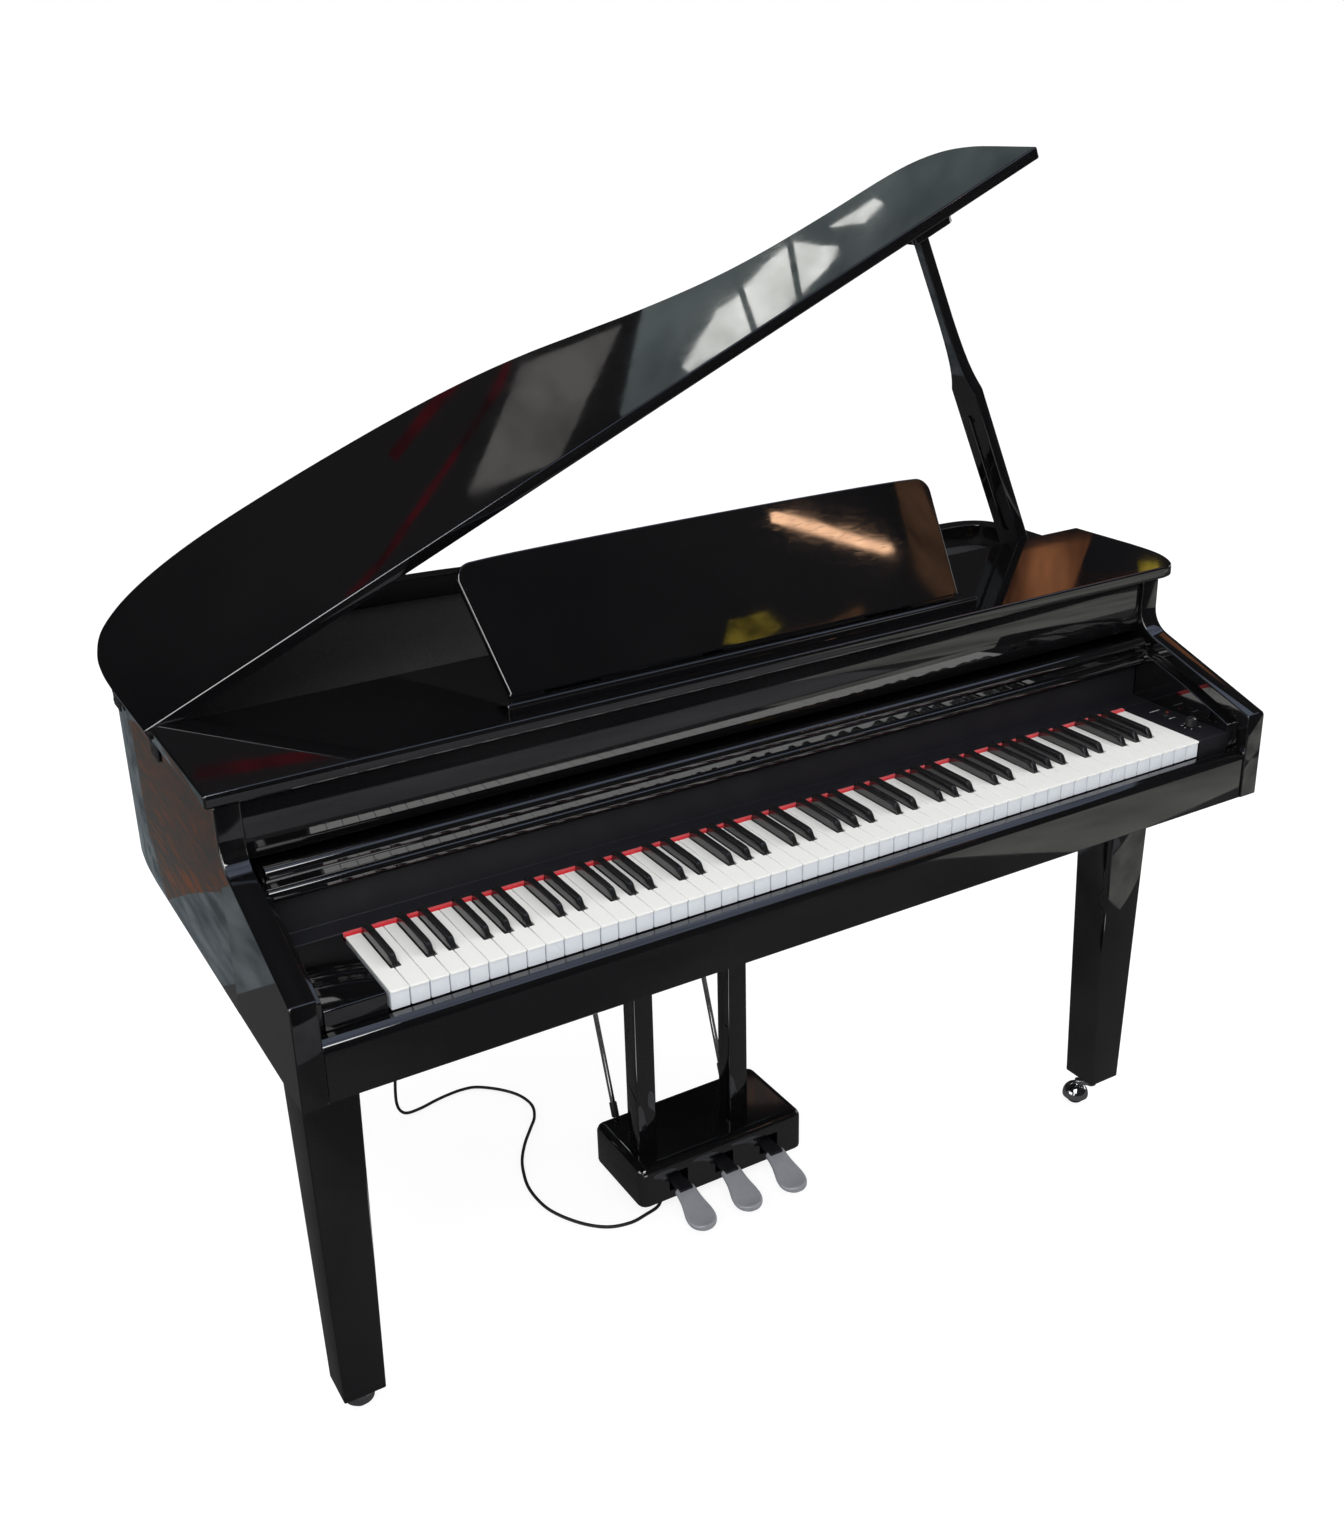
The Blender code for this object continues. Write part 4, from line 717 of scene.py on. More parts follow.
box = shell("pedal_box_body", block(BOX_LOW, BOX_HIGH, [2.2, 12.5], 6, 13.4), "case", POLYESTER,
            "pedal_box")
pockets = [board(fillet([(x - 16.5, 45.0), (x + 16.5, 45.0), (x + 16.5, 76.0), (x - 16.5, 76.0)], 2.4, 4),
                 280.0, 355.0, 0.2, 1, "Y") for x in PEDALS.values()]
carved(box, pockets)
for side, x in (("left", 490.0), ("right", 654.0)):
    post = block((x - 16.8, 325.0, 98.3), (x + 16.8, 357.0, 620.7), 0.5, 2, 2.8)
    shell("post_of_lyre_" + side, post, "case", POLYESTER, "lyre_post_" + side)
print("pedal box", len(box.data.polygons), "faces")

# %% [markdown]
# A pedal is a cast shoe, narrow at the box and round at the toe, on a steel strap that turns on a pin.
# The shoe is lofted: rounded sections follow one another towards the toe, wider and lower each time.

# %% Pedals
SHOE = np.array([(14, 13.0), (17, 16.5), (26, 16.8), (36, 17.8), (46, 20.2), (55, 22.8), (63, 23.4)])


def shoe(x):
    """The rings of a pedal shoe: at each distance from the box a rounded section (a superellipse of
    power 3.4), whose height sinks by a smooth S and whose ends are rounded like its sides."""
    toe = np.radians(np.linspace(0.0, 84.0, 16))
    away = np.concatenate([14.0 + 3.0 * (1 - np.cos(np.linspace(0.35, 1.5, 5))), np.linspace(18.5, 60.0, 15),
                           63.0 + 23.4 * np.sin(toe)])
    half = np.concatenate([np.interp(away[:20], SHOE[:, 0], SHOE[:, 1]), 23.4 * np.cos(toe)])
    to_end = np.minimum(np.minimum(away - 13.2, 86.6 - away), 4.2) / 4.2
    thick = 5.25 - 3.4 * (1 - np.sqrt(np.clip(1 - (1 - to_end) ** 2, 0.0, 1.0)))
    s = np.clip((away - 5.0) / 75.0, 0.0, 1.0)
    middle = 59.95 - 24.0 * s * s * (3 - 2 * s) - 5.25
    turn = np.linspace(0, 2 * np.pi, 56, endpoint=False)
    wide, tall = (np.sign(f) * np.abs(f) ** (2 / 3.4) for f in (np.cos(turn), np.sin(turn)))
    grid = np.empty((len(away), len(turn), 3))
    grid[..., 0] = x + half[:, None] * wide
    grid[..., 1] = BOX_LOW[1] - away[:, None]
    grid[..., 2] = middle[:, None] + thick[:, None] * tall
    return grid


for name, x in PEDALS.items():
    strap = block((x - 11.5, 265.0, 52.5), (x + 11.5, 349.0, 59.5), 1.2, 3, 2.0)
    shell("pedal_shoe_" + name, [shoe(x), strap], "pedal_" + name, [SHOE_METAL, MATTE],
          "pedal_" + name, 40.0, [0, 1])
print(len(PEDALS), "pedals")

# %% Lyre rods
for side, x in (("left", 490.0), ("right", 690.0)):
    foot, head = np.array([x, 426.0, 99.0]), np.array([x, 600.0, 619.0])
    length, lean = np.linalg.norm(head - foot), np.degrees(np.arctan2(174.0, 520.0))
    rod = turned(soft_profile([(4.0, 1.0), (4.0, length - 0.5)], 0.4, 3), foot, 32)
    ferrule = turned(soft_profile([(6.0, 2.6), (6.0, 26.0)], [0.6, 1.4], 4), foot, 32)
    shell("lyre_rod_" + side, [spun(part, -lean, foot, "X") for part in (rod, ferrule)], "case", [CHROME, MATTE],
          "brace_" + side, parts=[0, 1])
print("two slanted rods")

# %% [markdown]
# At the treble end of the keys lies the control panel, a matte block with a power button, a volume
# knob and a few plain marks. The button and the knob go down into drilled holes.

# %% Control panel, knob and button
PANEL_TOP, BUTTON, KNOB = KEY_TOP + 0.4, (1255.0, 93.0), (1254.0, 45.0)
panel = shell("control_panel_block", board(block_outline, 1225.4, 1278.7, 0.8, 3, "X"), "case", MATTE,
              "control_panel")
carved(panel, [turned([(radius, -9.0), (radius, 3.0)], (*place, PANEL_TOP), 48)
               for place, radius in ((BUTTON, 5.4), (KNOB, 4.4))])
knob_profile = soft_profile([(4.0, -7.0), (4.0, 0.8), (8.6, 0.8), (8.6, 1.6), (7.8, 12.0), (6.6, 13.0)],
                            [0.3, 0.2, 0.3, 0.3, 1.0, 0.5], 3)
knob_parts = [turned(knob_profile, (*KNOB, PANEL_TOP), 48),
              block((KNOB[0] - 0.5, KNOB[1] - 7.4, PANEL_TOP + 12.7), (KNOB[0] + 0.5, KNOB[1] - 3.0, PANEL_TOP + 13.2),
                    0.1, 1, 0.3)]
shell("volume_knob_cap", knob_parts, "volume_knob", [PLASTIC, MARK], "volume_knob", parts=[0, 1])
shell("power_button_cap", turned(soft_profile([(5.0, -7.0), (5.0, 1.6), (4.2, 2.4)], [0.3, 0.5, 0.5], 4),
                                 (*BUTTON, PANEL_TOP), 40), "power_button", PLASTIC, "power_button")


def mark(low, high):
    """A thin printed mark on the panel, as a very low block."""
    return block((*low, PANEL_TOP - 0.1), (*high, PANEL_TOP + 0.12), 0.05, 1, 0.1)


ticks = [spun(mark((KNOB[0] - 0.5, KNOB[1] + 10.4), (KNOB[0] + 0.5, KNOB[1] + 13.6)), angle, (*KNOB, 0.0), "Z")
         for angle in range(-135, 136, 45)]
ticks += [mark((BUTTON[0] - 6.0, BUTTON[1] - 12.6), (BUTTON[0] + 6.0, BUTTON[1] - 11.2)),
          mark((BUTTON[0] - 10.0, BUTTON[1] + 20.0), (BUTTON[0] + 10.0, BUTTON[1] + 21.4))]
shell("panel_marks", ticks, "case", MARK)
shell("panel_light", turned([(1.5, -0.1), (1.5, 0.25)], (BUTTON[0] + 12.0, BUTTON[1] + 8.0, PANEL_TOP), 20), "case",
      LIGHT)
print("panel with", len(ticks), "marks")

# %% [markdown]
# Inside the rim lies the soundboard panel. On a digital piano it is a plain board covered in black
# cloth, and the loudspeakers hang in it and sound through the cloth. Under the keys lies the keybed
# with the key frame, and the bottom board closes the body from below.

# %% Soundboard panel and loudspeakers
floor_ring = moved_in(rim_in, np.full(len(rim_in), 0.6))
floor_ring[0, 1] = floor_ring[-1, 1] = 200.6
past = floor_ring[floor_ring[:, 1] > 396.0]
cut_right, cut_left = (1317.5, 396.0), (LEFT_OUT + WALL + 0.6, 396.0)
cloth_ring = np.vstack([[cut_right], past, [cut_left]])
panel_grid = board(cloth_ring, 846.0, 856.0, 1.2, 3)
SPEAKERS = ((210.0, 640.0), (860.0, 560.0))
cone_profile = soft_profile([(40.0, -66.0), (40.0, -44.0), (66.0, -12.0), (80.0, -4.0), (80.0, 0.5)],
                            [3.0, 4.0, 2.0, 1.0, 0.5], 4)
rings_on_cloth = [turned(soft_profile([(86.0, 9.6), (86.0, 12.0), (82.0, 13.0)], [0.4, 0.9, 0.6], 3),
                         (x, y, 846.0), 64) for x, y in SPEAKERS]
speakers = [turned(cone_profile, (x, y, 846.0), 48) for x, y in SPEAKERS]
soundboard = shell("soundboard_and_speakers", [panel_grid] + speakers, "case", [CLOTH, MATTE],
                   "soundboard", parts=[0, 1, 1])
print("soundboard", len(soundboard.data.polygons), "faces")

# %% Keybed, key frame and bottom board
frame_outline = fillet([(16.0, 650.0), (240.0, 650.0), (240.0, 676.0), (236.0, 697.0), (216.0, 697.0), (205.0, 676.0),
                        (170.0, 664.0), (16.0, 664.0)], [0.6, 0.6, 1.0, 2.0, 2.0, 4.0, 4.0, 1.2], 4)
shell("keybed_and_frame", [block((LEFT_IN + 0.3, 14.5, 621.0), (RIGHT_IN - 0.3, 200.0, 651.0), 0.8, 3, 1.2),
                           board(frame_outline, 1.0, 1221.0, 0.6, 2, "X")], "case", MATTE, "keybed")
plug_profile = soft_profile([(4.5, 596.3), (4.5, 600.0), (6.5, 604.0), (6.5, 622.0)], [0.8, 1.0, 1.0, 0.4], 4)
shell("bottom_board_and_plug", [board(floor_ring, BOTTOM_UNDER, 636.0, 0.8, 2),
                                turned(plug_profile, (262.0, 700.0, 0.0), 32)], "case", [MATTE, CABLE],
      "bottom_board", parts=[0, 1])
inlet_parts = [block((120.0, 470.0, 611.0), (168.0, 500.0, 620.7), 1.4, 3, 3.0)]
inlet_parts += [block((144.0 + dx - 1.0, 483.0 + dy - 2.0, 612.4), (144.0 + dx + 1.0, 483.0 + dy + 2.0, 614.4), 0.3, 1, 0.4)
                for dx, dy in ((-7.0, -2.0), (0.0, 3.0), (7.0, -2.0))]
shell("mains_inlet_block", inlet_parts, "case", MATTE, "mains_inlet")
print("keybed, bottom board and mains inlet")

# %% [markdown]
# The lid stands on a prop of two stages. The long prop is a flat board that narrows to a stick, and
# the short prop lies in the long one's slot. Their outlines are drawn upright, given a thickness, and
# leaned over about the pin at the foot, as a joiner saws the board first and fits it afterwards.

# %% The two props
PROP_FOOT = np.array([1286.0, 449.0, 874.0])
PROP_LEAN, PROP_LENGTH, PROP_HALF, TIP_HALF = 23.6, 566.0, 26.5, 8.2


def leaned_prop(points):
    """Points of the upright prop leaned towards the bass about its foot."""
    return spun(points, -PROP_LEAN, PROP_FOOT, "Y")


def both_sides(half):
    """A closed outline from (distance up the prop, half width) pairs: up one side, down the other."""
    up, wide = np.array(half, dtype=float).T
    right = np.stack([PROP_FOOT[1] + wide, PROP_FOOT[2] + up], -1)
    left = np.stack([PROP_FOOT[1] - wide, PROP_FOOT[2] + up], -1)
    return np.vstack([right, left[::-1]])


prop_outline = both_sides([(-8.0, PROP_HALF - 3.0), (-4.0, PROP_HALF), (150.0, PROP_HALF), (308.0, PROP_HALF),
                           (310.0, PROP_HALF - 0.6), (317.0, 23.0), (326.0, 19.6), (337.0, 16.4), (352.0, 13.4),
                           (372.0, 10.9), (396.0, 9.2), (424.0, TIP_HALF), (500.0, TIP_HALF),
                           (PROP_LENGTH - 3.0, TIP_HALF), (PROP_LENGTH, TIP_HALF - 2.5)])
slot_turn = np.radians(np.linspace(0.0, 90.0, 7))
slot_outline = both_sides([(52.0, 3.0), (53.0, 6.0), (150.0, 6.0)]
                          + list(zip(260.0 + 6.0 * np.sin(slot_turn), 6.0 * np.cos(slot_turn) + 0.02)))
prop = shell("long_lid_prop", leaned_prop(pierced(prop_outline, slot_outline, PROP_FOOT[0] - 8.5,
                                                  PROP_FOOT[0] + 8.5, 1.6, 4, "X")),
             "prop", POLYESTER, "lid_prop", 30.0)
short_outline = fillet([(PROP_FOOT[1] - 5.0, PROP_FOOT[2] + 57.0), (PROP_FOOT[1] + 5.0, PROP_FOOT[2] + 57.0),
                        (PROP_FOOT[1] + 5.0, PROP_FOOT[2] + 252.0), (PROP_FOOT[1] - 5.0, PROP_FOOT[2] + 252.0)],
                       [3.0, 3.0, 4.8, 4.8], 6)
shell("short_lid_prop", leaned_prop(board(short_outline, PROP_FOOT[0] - 5.0, PROP_FOOT[0] + 5.0, 1.0, 3, "X")),
      "short_prop", POLYESTER, "short_prop")
print("prop", len(prop.data.polygons), "faces")

# %% [markdown]
# The prop turns on a pin between two brass ears inside the treble side of the case, and its tip stands
# in a cup block under the lid. The block is a board with its socket left open towards the hinges.

# %% Prop bracket and cup
EAR_IN, EAR_OUT = 27.5, 31.1
foot_x, foot_y, foot_z = PROP_FOOT
ear_outline = fillet([(foot_x - 11.0, 857.0), (foot_x + 11.0, 857.0), (foot_x + 11.0, 885.0),
                      (foot_x - 11.0, 885.0)], [0.5, 0.5, 9.0, 9.0], 6)
bracket_parts = [block((foot_x - 22.0, foot_y - EAR_OUT, 856.3), (foot_x + 22.0, foot_y + EAR_OUT, 860.0), 0.6, 2, 3.0)]
bracket_parts += [board(ear_outline, *ends, 0.5, 2, "Y") for ends in ((foot_y - EAR_OUT, foot_y - EAR_IN),
                                                                      (foot_y + EAR_IN, foot_y + EAR_OUT))]
bracket_parts += [turned(soft_profile([(4.0, -EAR_OUT - 1.4), (4.0, EAR_OUT + 1.4)], 0.8, 3), PROP_FOOT, 24, "Y")]
screw_head = soft_profile([(4.0, 0.0), (4.0, 1.2), (2.4, 1.8)], [0.3, 0.4, 0.3], 3)
bracket_parts += [turned(screw_head, (foot_x + dx, foot_y + dy, 859.8), 16)
                  for dx in (-16.0, 16.0) for dy in (-17.0, 17.0)]
shell("prop_bracket_brass", bracket_parts, "case", BRASS, "prop_bracket")

CUP_AT = 1282.6 + HINGE[0]
cup_outline = fillet([(CUP_AT - 24.0, foot_y - 20.0), (CUP_AT + 52.0, foot_y - 20.0), (CUP_AT + 52.0, foot_y + 20.0),
                      (CUP_AT - 24.0, foot_y + 20.0), (CUP_AT - 24.0, foot_y + 9.5), (CUP_AT + 9.5, foot_y + 9.5),
                      (CUP_AT + 9.5, foot_y - 9.5), (CUP_AT - 24.0, foot_y - 9.5)],
                     [5.0, 12.0, 12.0, 5.0, 1.2, 1.5, 1.5, 1.2], 5)
cup_roof = block((CUP_AT - 20.0, foot_y - 12.0, RIM_TOP - 4.0), (CUP_AT + 14.0, foot_y + 12.0, RIM_TOP - 0.2), 0.2, 1)
shell("prop_cup_block", [opened(board(cup_outline, RIM_TOP - 12.0, RIM_TOP - 0.1, [1.6, 0.3], 4)),
                         opened(cup_roof)], "lid", POLYESTER, "prop_cup")
print("bracket and cup in place")

# %% [markdown]
# Two hinges carry the lid on the bass side: a leaf screwed to the rim's outer face, a barrel on the
# hinge line and a pin with small round ends.

# %% Lid hinges
for number, y in ((1, 448.0), (2, 652.0)):
    leaf = block((LEFT_OUT - 3.0, y - 18.0, 857.0), (LEFT_OUT - 0.3, y + 18.0, 889.6), 0.6, 3, 1.3)
    barrel = turned(soft_profile([(3.6, -18.0), (3.6, 18.0)], 0.7, 4), (HINGE[0], y, RIM_TOP), 28, "Y")
    pin = turned(soft_profile([(1.8, -21.0), (1.8, 27.0)], 1.0, 4), (HINGE[0], y, RIM_TOP), 20, "Y")
    heads = [turned(soft_profile([(3.0, -1.6), (3.0, 0.0)], [1.2, 0.2], 3), (LEFT_OUT - 2.6, y + dy, z), 20, "X")
             for dy in (-11.0, 11.0) for z in (865.0, 878.0)]
    shell("lid_hinge_leaf_%d" % number, [leaf, barrel, pin] + heads, "case", [SATIN, MATTE],
          "lid_hinge_%d" % number, parts=[1, 0, 0] + [1] * len(heads))
print("two lid hinges")

# %% [markdown]
# Three square legs taper towards the floor. Each is screwed to a brass plate under the case and
# stands on a small ball caster with a chromed hood.

# %% Legs
LEGS = {"left": (-42.0, 165.0, 75.0), "right": (1244.0, 165.0, 142.0), "rear": (138.0, 800.0, 110.0)}
LEG_BOTTOM = 58.0


def leg(x, y):
    """The rings of a tapered square leg: a rounded square whose half width goes from 28.5 to 37.5."""
    square = fillet([(-1, -1), (1, -1), (1, 1), (-1, 1)], 0.07, 5)
    turn = np.linspace(0, np.pi / 2, 5)
    top = 615.0
    height = np.concatenate([[LEG_BOTTOM], LEG_BOTTOM + 1.6 * (1 - np.cos(turn)), [top - 1.0, top]])
    half = 28.5 + 9.0 * (height - LEG_BOTTOM) / (top - LEG_BOTTOM)
    half -= np.concatenate([[2.2], 1.6 * (1 - np.sin(turn)), [0.0, 0.4]])
    grid = np.empty((len(height), len(square), 3))
    grid[..., :2] = np.array([x, y]) + square * half[:, None, None]
    grid[..., 2] = height[:, None]
    return grid


for side, (x, y, trail) in LEGS.items():
    plate = block((x - 40.0, y - 40.0, 614.8), (x + 40.0, y + 40.0, 620.7), 0.6, 2, 4.0)
    shell("leg_and_plate_" + side, [leg(x, y), plate], "case", [POLYESTER, BRASS], "leg_" + side,
          parts=[0, 1])
print(len(LEGS), "legs")

# %% [markdown]
# Each leg stands on a ball caster: a chromed hood swivels on a stem and covers most of a small wheel.
# The hood is thin sheet metal spun into a bell, so its profile goes up the outside, over the top and
# down the inside; the wheel is a ball turned flat at its two ends, on an axle through its middle.

# %% Casters
WHEEL_HIGH = 17.0


def arc_profile(radius, start, end, high=0.0, count=9):
    """Points of a turned profile on a circle about the axis, by angles from straight up."""
    turn = np.radians(np.linspace(start, end, count))
    return np.stack([radius * np.sin(turn), high + radius * np.cos(turn)], -1)


def caster(side, x, y, trail):
    """The hood with its stem, riding on the swivel, and the wheel with its axle."""
    ahead = np.array([np.cos(np.radians(trail)), np.sin(np.radians(trail)), 0.0])
    middle = np.array([x, y, 0.0]) + 23.0 * ahead + [0.0, 0.0, WHEEL_HIGH]
    bell = np.vstack([arc_profile(20.5, 98, 4, count=19), arc_profile(17.9, 4, 98, count=17),
                      arc_profile(19.2, 100.5, 100.5, count=1)])
    bell = turned(np.vstack([bell, bell[:1]]), middle, 48)
    stem = turned(soft_profile([(9.0, 36.0), (9.0, 51.0), (13.0, 54.0), (13.0, 57.7)], [1.4, 1.2, 1.0, 0.5], 4),
                  (x, y, 0.0), 36)
    neck = spun(block((-4.0, -6.0, 35.6), (25.0, 6.0, 44.0), 1.8, 4, 4.0), trail, (0.0, 0.0, 0.0), "Z") + [x, y, 0.0]
    shell("swivel_hood_" + side, [bell, stem, neck], "caster_" + side, CHROME, "caster_hood_" + side, 40.0)
    ball = arc_profile(16.0, 45, 135, count=13)
    tyre = np.vstack([[(3.0, 16.5), (5.0, 13.0), (10.0, 11.8)], ball, [(10.0, -11.8), (5.0, -13.0), (3.0, -16.5)]])
    wheel = spun(turned(tyre[::-1], (0.0, 0.0, 0.0), 36, "Y"), trail, (0.0, 0.0, 0.0), "Z") + middle - [0.0, 0.0, 1.0]
    shell("swivel_ball_" + side, wheel, "wheel_" + side, PLASTIC, "caster_wheel_" + side, 40.0)


for side, (x, y, trail) in LEGS.items():
    caster(side, x, y, trail)
print(len(LEGS), "casters")

# %% [markdown]
# The studio: a plain white floor and a white surround, lit evenly by the world and by two large soft
# lamps. Polished black shows only what it mirrors, so, as a product photographer does, dark, grey and
# brown cards stand round the piano like a dim hall. They are seen by reflections alone.

# %% Floor, world and lamps
def flat_card(name, centre, normal, width, height, look, up=(0.0, 0.0, 1.0)):
    """A flat card in metres that faces along its normal."""
    n = np.array(normal, dtype=float)
    n /= np.linalg.norm(n)
    side = np.cross(up, n)
    side /= np.linalg.norm(side)
    rise = np.cross(n, side)
    square = np.array([[-1, -1], [1, -1], [1, 1], [-1, 1]]) / 2
    mesh = bpy.data.meshes.new(name)
    mesh.from_pydata(np.array(centre) + square[:, :1] * width * side + square[:, 1:] * height * rise, [],
                     [(0, 1, 2, 3)])
    mesh.materials.append(look)
    card = bpy.data.objects.new(name, mesh)
    bpy.context.scene.collection.objects.link(card)
    return card


FLOOR = bpy.data.materials.new("white_floor")
FLOOR.use_nodes = True
tree = FLOOR.node_tree
tree.nodes.clear()
rays = joined(FLOOR, "ShaderNodeLightPath", {})
seen = added(FLOOR, rays.outputs["Is Camera Ray"], rays.outputs["Is Glossy Ray"], rays.outputs["Is Transmission Ray"])
paint = joined(FLOOR, "ShaderNodeBsdfDiffuse", {"Color": (0.8, 0.8, 0.8, 1.0)})
thin = joined(FLOOR, "ShaderNodeBsdfDiffuse", {"Color": (0.3, 0.3, 0.3, 1.0)})
glow = joined(FLOOR, "ShaderNodeEmission", {"Color": (1.0, 1.0, 1.0, 1.0), "Strength": 0.86})
both = joined(FLOOR, "ShaderNodeAddShader", {0: thin.outputs[0], 1: glow.outputs[0]})
mixed = joined(FLOOR, "ShaderNodeMixShader", {0: seen, 1: paint.outputs[0], 2: both.outputs[0]})
joined(FLOOR, "ShaderNodeOutputMaterial", {"Surface": mixed.outputs[0]})
floor = flat_card("studio_floor", (0.0, 0.0, 0.0), (0.0, 0.0, 1.0), 60.0, 60.0, FLOOR, up=(0.0, 1.0, 0.0))

world = bpy.data.worlds.new("white_studio")
world.use_nodes = True
bpy.context.scene.world = world
world.node_tree.nodes.clear()
rays = joined(world, "ShaderNodeLightPath", {})
seen = added(world, rays.outputs["Is Camera Ray"], rays.outputs["Is Glossy Ray"], rays.outputs["Is Transmission Ray"])
air = joined(world, "ShaderNodeBackground", {"Color": (1.0, 1.0, 1.0, 1.0), "Strength": 0.62})
backdrop = joined(world, "ShaderNodeBackground", {"Color": (1.0, 1.0, 1.0, 1.0), "Strength": 1.0})
mixed = joined(world, "ShaderNodeMixShader", {0: seen, 1: air.outputs[0], 2: backdrop.outputs[0]})
joined(world, "ShaderNodeOutputWorld", {"Surface": mixed.outputs[0]})


def soft_lamp(name, place, aim, size, watts):
    """A square soft lamp in metres, turned towards a point."""
    data = bpy.data.lights.new(name, "AREA")
    data.size = size
    data.energy = watts
    lamp = bpy.data.objects.new(name, data)
    bpy.context.scene.collection.objects.link(lamp)
    lamp.location = place
    away = np.array(aim, dtype=float) - np.array(place)
    lamp.rotation_euler = Vector(away).to_track_quat("-Z", "Y").to_euler()
    return lamp


soft_lamp("key_lamp", (-1.6, -2.4, 3.2), (0.0, 0.0, 0.7), 2.0, 60.0)
soft_lamp("fill_lamp", (2.8, -1.4, 2.6), (0.2, 0.0, 0.7), 2.0, 40.0).visible_glossy = False
print("floor, world and lamps stand")


# %% Cards that only reflections see
def card_look(name, dark, pale, scale, low=0.4, high=0.6, stretch=(1.0, 1.0, 1.0)):
    """A card that gives out a cloudy mixture of two colours."""
    made = bpy.data.materials.new(name)
    made.use_nodes = True
    made.node_tree.nodes.clear()
    share = ranged(made, noise(made, scale, 3.0, here(made, stretch)), low, high, 0.0, 1.0)
    light = joined(made, "ShaderNodeEmission", {"Color": blended(made, share, dark, pale), "Strength": 1.0})
    joined(made, "ShaderNodeOutputMaterial", {"Surface": light.outputs[0]})
    return made


def card(name, places, look):
    """A flat card with any outline in metres, which the camera, the light and the shadows pass by."""
    mesh = bpy.data.meshes.new(name)
    mesh.from_pydata(np.array(places, dtype=float), [], [list(range(len(places)))])
    mesh.materials.append(look)
    made = bpy.data.objects.new(name, mesh)
    bpy.context.scene.collection.objects.link(made)
    for way in ("camera", "diffuse", "shadow", "transmission", "volume_scatter"):
        setattr(made, "visible_" + way, False)
    return made


BACK, FRONT, LEFT, RIGHT, CEILING = 3.2, -2.8, -4.0, 5.6, 4.6
NIGHT = card_look("dark_hall_card", (0.006, 0.006, 0.007), (0.022, 0.021, 0.022), 0.7)
DUSK = card_look("front_floor_look", (0.045, 0.043, 0.045), (0.085, 0.083, 0.085), 0.9)
GREY = card_look("grey_floor_look", (0.12, 0.12, 0.13), (0.19, 0.19, 0.20), 1.3, 0.3, 0.7)
PALE_GREY = card_look("pale_floor_look", (0.22, 0.22, 0.21), (0.40, 0.40, 0.37), 2.0, 0.35, 0.65)
TEAL = card_look("roof_steel_look", (0.10, 0.13, 0.135), (0.34, 0.40, 0.40), 1.6, 0.35, 0.7, (1.0, 1.0, 2.0))
WARM_GREY = card_look("warm_grey_look", (0.16, 0.155, 0.15), (0.30, 0.29, 0.28), 3.0)
SKY = card_look("skylight_look", (1.9, 1.95, 1.85), (3.0, 3.05, 2.95), 6.0, 0.3, 0.7)
RED = card_look("dark_red_look", (0.03, 0.002, 0.004), (0.13, 0.006, 0.012), 4.0)
COPPER = card_look("copper_wall_look", (0.07, 0.024, 0.010), (0.62, 0.24, 0.10), 3.4, 0.34, 0.60, (1.0, 1.0, 0.35))
BROWN = card_look("brown_wall_look", (0.05, 0.025, 0.012), (0.38, 0.18, 0.085), 9.0, 0.3, 0.7, (1.0, 1.0, 0.3))
OLIVE = card_look("olive_patch_look", (0.20, 0.15, 0.01), (0.70, 0.52, 0.06), 9.0)
TUBE = card_look("warm_tube_look", (5.2, 3.0, 1.8), (8.4, 5.0, 3.0), 14.0, 0.3, 0.7)
BLUE = card_look("blue_ceiling_look", (0.16, 0.19, 0.26), (0.46, 0.54, 0.72), 1.2, 0.3, 0.7, (0.4, 2.0, 1.0))
MOTTLED = card_look("blue_grey_floor_look", (0.09, 0.11, 0.12), (0.22, 0.25, 0.27), 4.0, 0.35, 0.65, (8.0, 1.2, 1.0))
RUST = card_look("rust_floor_look", (0.11, 0.105, 0.10), (0.27, 0.115, 0.07), 5.0, 0.50, 0.66, (18.0, 1.0, 1.0))
WHITE_CARD = card_look("white_card_look", (1.6, 1.6, 1.6), (1.9, 1.9, 1.9), 2.0)


def wall(y, outline, name, look):
    """A card on a plane across the hall: its outline is given as (x, z)."""
    return card(name, [(x, y, z) for x, z in outline], look)


def ground(z, outline, name, look):
    """A level card: its outline is given as (x, y)."""
    return card(name, [(x, y, z) for x, y in outline], look)


ends = [(LEFT, 0.0), (RIGHT, 0.0), (RIGHT, CEILING), (LEFT, CEILING)]
plan = [(LEFT, FRONT), (RIGHT, FRONT), (RIGHT, BACK), (LEFT, BACK)]
wall(BACK, ends, "hall_back", NIGHT)
wall(FRONT, ends, "hall_front", NIGHT)
for x, name in ((LEFT, "hall_left"), (RIGHT, "hall_right")):
    card(name, [(x, FRONT, 0.0), (x, BACK, 0.0), (x, BACK, CEILING), (x, FRONT, CEILING)], NIGHT)
ground(CEILING, plan, "hall_ceiling", NIGHT)
ground(0.003, plan, "hall_floor", DUSK)

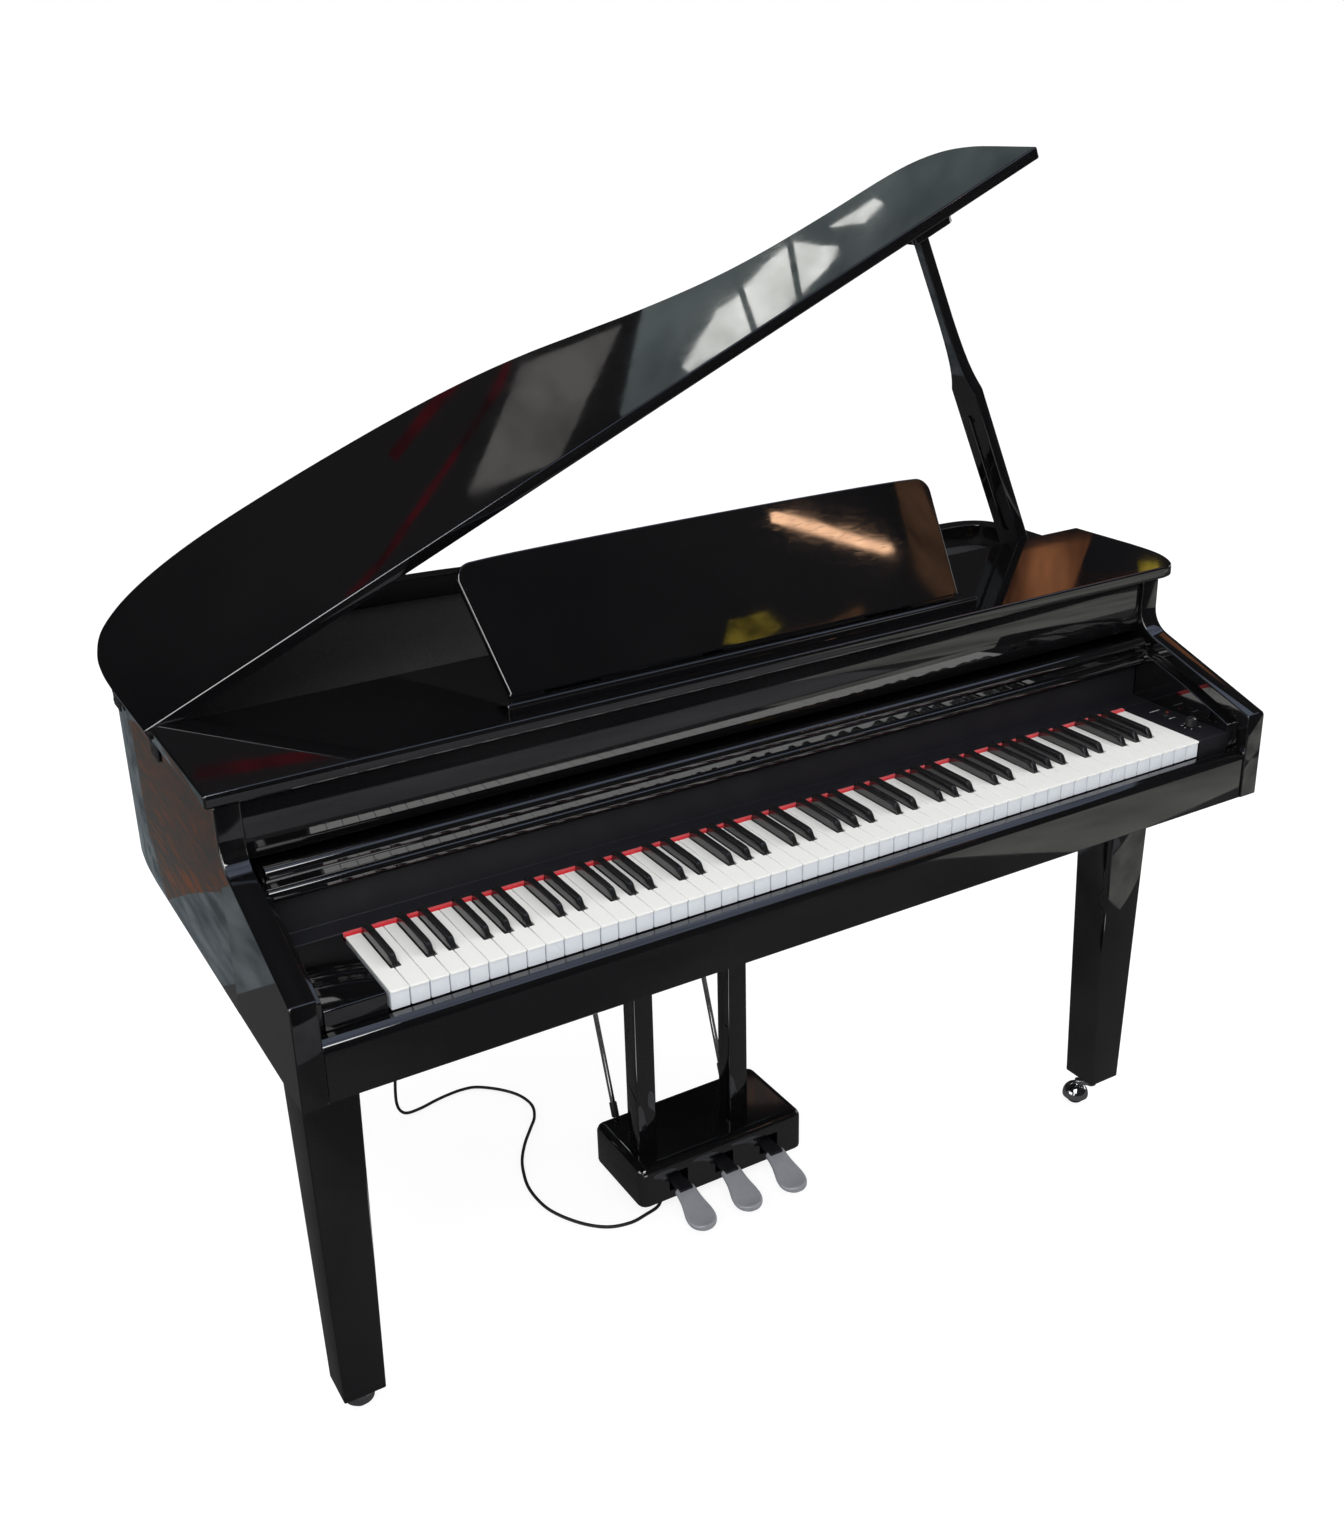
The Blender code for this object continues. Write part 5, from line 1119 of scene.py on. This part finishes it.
# The floor in front, which the front panel and the keyslip mirror, and behind, which the spine does.
ground(0.005, [(-1.6, -2.75), (1.9, -2.75), (1.7, -1.75), (-1.4, -1.7)], "front_floor_far", GREY)
ground(0.006, [(1.75, -2.75), (4.5, -2.75), (4.0, -1.0), (2.0, -1.75)], "front_floor_right", PALE_GREY)
ground(0.007, [(1.0, -1.7), (2.1, -1.7), (2.6, -0.9), (1.2, -0.95)], "front_floor_near", PALE_GREY)
ground(0.005, [(-2.6, 0.84), (-0.1, 0.80), (-0.1, BACK), (-2.6, BACK)], "back_floor_blue", MOTTLED)
ground(0.007, [(-1.35, 1.30), (-0.8, 1.22), (-0.9, 1.62), (-1.06, 2.1), (-1.16, 2.6), (-1.5, 2.6)], "back_floor_rust", RUST)

# The back wall, which the lid and the shelf mirror: roof steel, panes of a skylight, warm walls.
wall(BACK - 0.02, [(0.98, 2.80), (1.45, 3.02), (1.95, 3.27), (2.6, 3.7), (2.9, 4.4), (0.62, 3.4), (0.62, 2.98)],
     "roof_steel", TEAL)
wall(BACK - 0.03, [(0.52, 2.54), (0.87, 2.77), (0.34, 2.88), (0.04, 2.66)], "warm_grey_band", WARM_GREY)
wall(BACK - 0.04, [(0.90, 3.07), (1.15, 3.05), (1.25, 3.09), (1.18, 3.23), (1.07, 3.18), (0.91, 3.10)], "pane_1", SKY)
wall(BACK - 0.04, [(1.28, 3.09), (1.44, 3.11), (1.51, 3.14), (1.40, 3.30), (1.28, 3.29), (1.21, 3.24)], "pane_2", SKY)
wall(BACK - 0.04, [(1.54, 3.15), (1.66, 3.33), (1.57, 3.34), (1.43, 3.31)], "pane_3", SKY)
wall(BACK - 0.04, [(1.68, 3.24), (1.89, 3.33), (1.91, 3.38), (1.80, 3.36)], "pane_4", SKY)
wall(BACK - 0.05, [(0.51, 2.49), (0.42, 2.52), (0.24, 2.53), (-0.09, 2.54), (-0.33, 2.54), (-0.52, 2.51), (-0.50, 2.495),
                   (-0.32, 2.515), (-0.08, 2.515), (0.26, 2.505), (0.42, 2.49), (0.48, 2.475)], "red_line", RED)
wall(BACK - 0.02, [(3.30, 2.98), (3.50, 2.20), (4.12, 2.20), (4.0, 2.5), (4.40, 2.5), (4.95, 2.74), (4.5, 2.88),
                   (3.9, 2.98)], "copper_wall", COPPER)
wall(BACK - 0.04, [(4.40, 2.37), (4.53, 2.40), (4.65, 2.56), (4.48, 2.58)], "olive_right", OLIVE)
wall(BACK - 0.04, [(0.34, 2.13), (0.51, 2.07), (0.83, 2.23), (0.87, 2.33), (0.67, 2.32), (0.46, 2.21)], "brown_left", BROWN)
wall(BACK - 0.04, [(2.10, 2.76), (2.50, 2.84), (2.46, 3.00), (2.22, 2.93)], "brown_high", RUST)
wall(BACK - 0.04, [(-0.02, 2.32), (0.37, 2.35), (0.67, 2.37), (0.66, 2.40), (0.36, 2.39), (-0.02, 2.36)], "red_band", RED)

# The front wall, which the music desk mirrors, a white card beside the camera and a blue ceiling.
wall(FRONT + 0.02, [(3.00, 3.36), (3.13, 3.36), (2.97, 2.80), (2.80, 2.65), (2.80, 2.89)], "brown_front_1", BROWN)
wall(FRONT + 0.02, [(3.18, 3.36), (3.25, 3.31), (3.07, 2.84), (2.98, 2.75)], "brown_front_2", BROWN)
wall(FRONT + 0.03, [(2.35, 3.30), (2.38, 3.30), (2.76, 3.02), (2.75, 2.98), (2.70, 2.98), (2.33, 3.25)], "warm_tube", TUBE)
wall(FRONT + 0.03, [(1.89, 2.83), (2.06, 2.83), (2.08, 2.75), (1.96, 2.70), (1.81, 2.73)], "olive_front", OLIVE)
wall(FRONT + 0.03, [(1.62, 2.69), (2.28, 2.72), (2.45, 2.77), (2.45, 2.73), (2.26, 2.67), (1.61, 2.655)], "brown_line", BROWN)
wall(FRONT + 0.04, [(-2.2, 1.5), (-0.9, 1.5), (-0.9, 2.8), (-2.2, 2.8)], "white_card", WHITE_CARD)
wall(FRONT + 0.04, [(-3.6, 0.3), (-2.6, 0.3), (-2.6, 2.2), (-3.6, 2.2)], "white_card_low", WHITE_CARD)
for x, name in ((LEFT + 0.03, "white_card_left"), (RIGHT - 0.03, "white_card_right")):
    card(name, [(x, -1.6, 0.3), (x, 1.4, 0.3), (x, 1.4, 2.0), (x, -1.6, 2.0)], WHITE_CARD)
ground(0.008, [(-0.33, -0.80), (-0.17, -0.80), (-0.17, -0.34), (-0.33, -0.34)], "white_card_floor", WHITE_CARD)
ground(CEILING - 0.02, [(-2.0, -2.7), (5.5, -2.7), (5.5, 0.4), (-2.0, 0.2)], "blue_ceiling", BLUE)
ground(CEILING - 0.03, [(3.6, 0.8), (5.5, 0.8), (5.5, 2.8), (3.6, 2.8)], "copper_ceiling", COPPER)
print("the cards stand round the piano")

# %% [markdown]
# A small function gives the two corners of a box as plain lists, and the scene is updated once more at the end.

# %% Box corners and a last update
def corners(box):
    """The two corners of a box as plain lists."""
    return [[float(value) for value in corner] for corner in box]


bpy.context.view_layer.update()
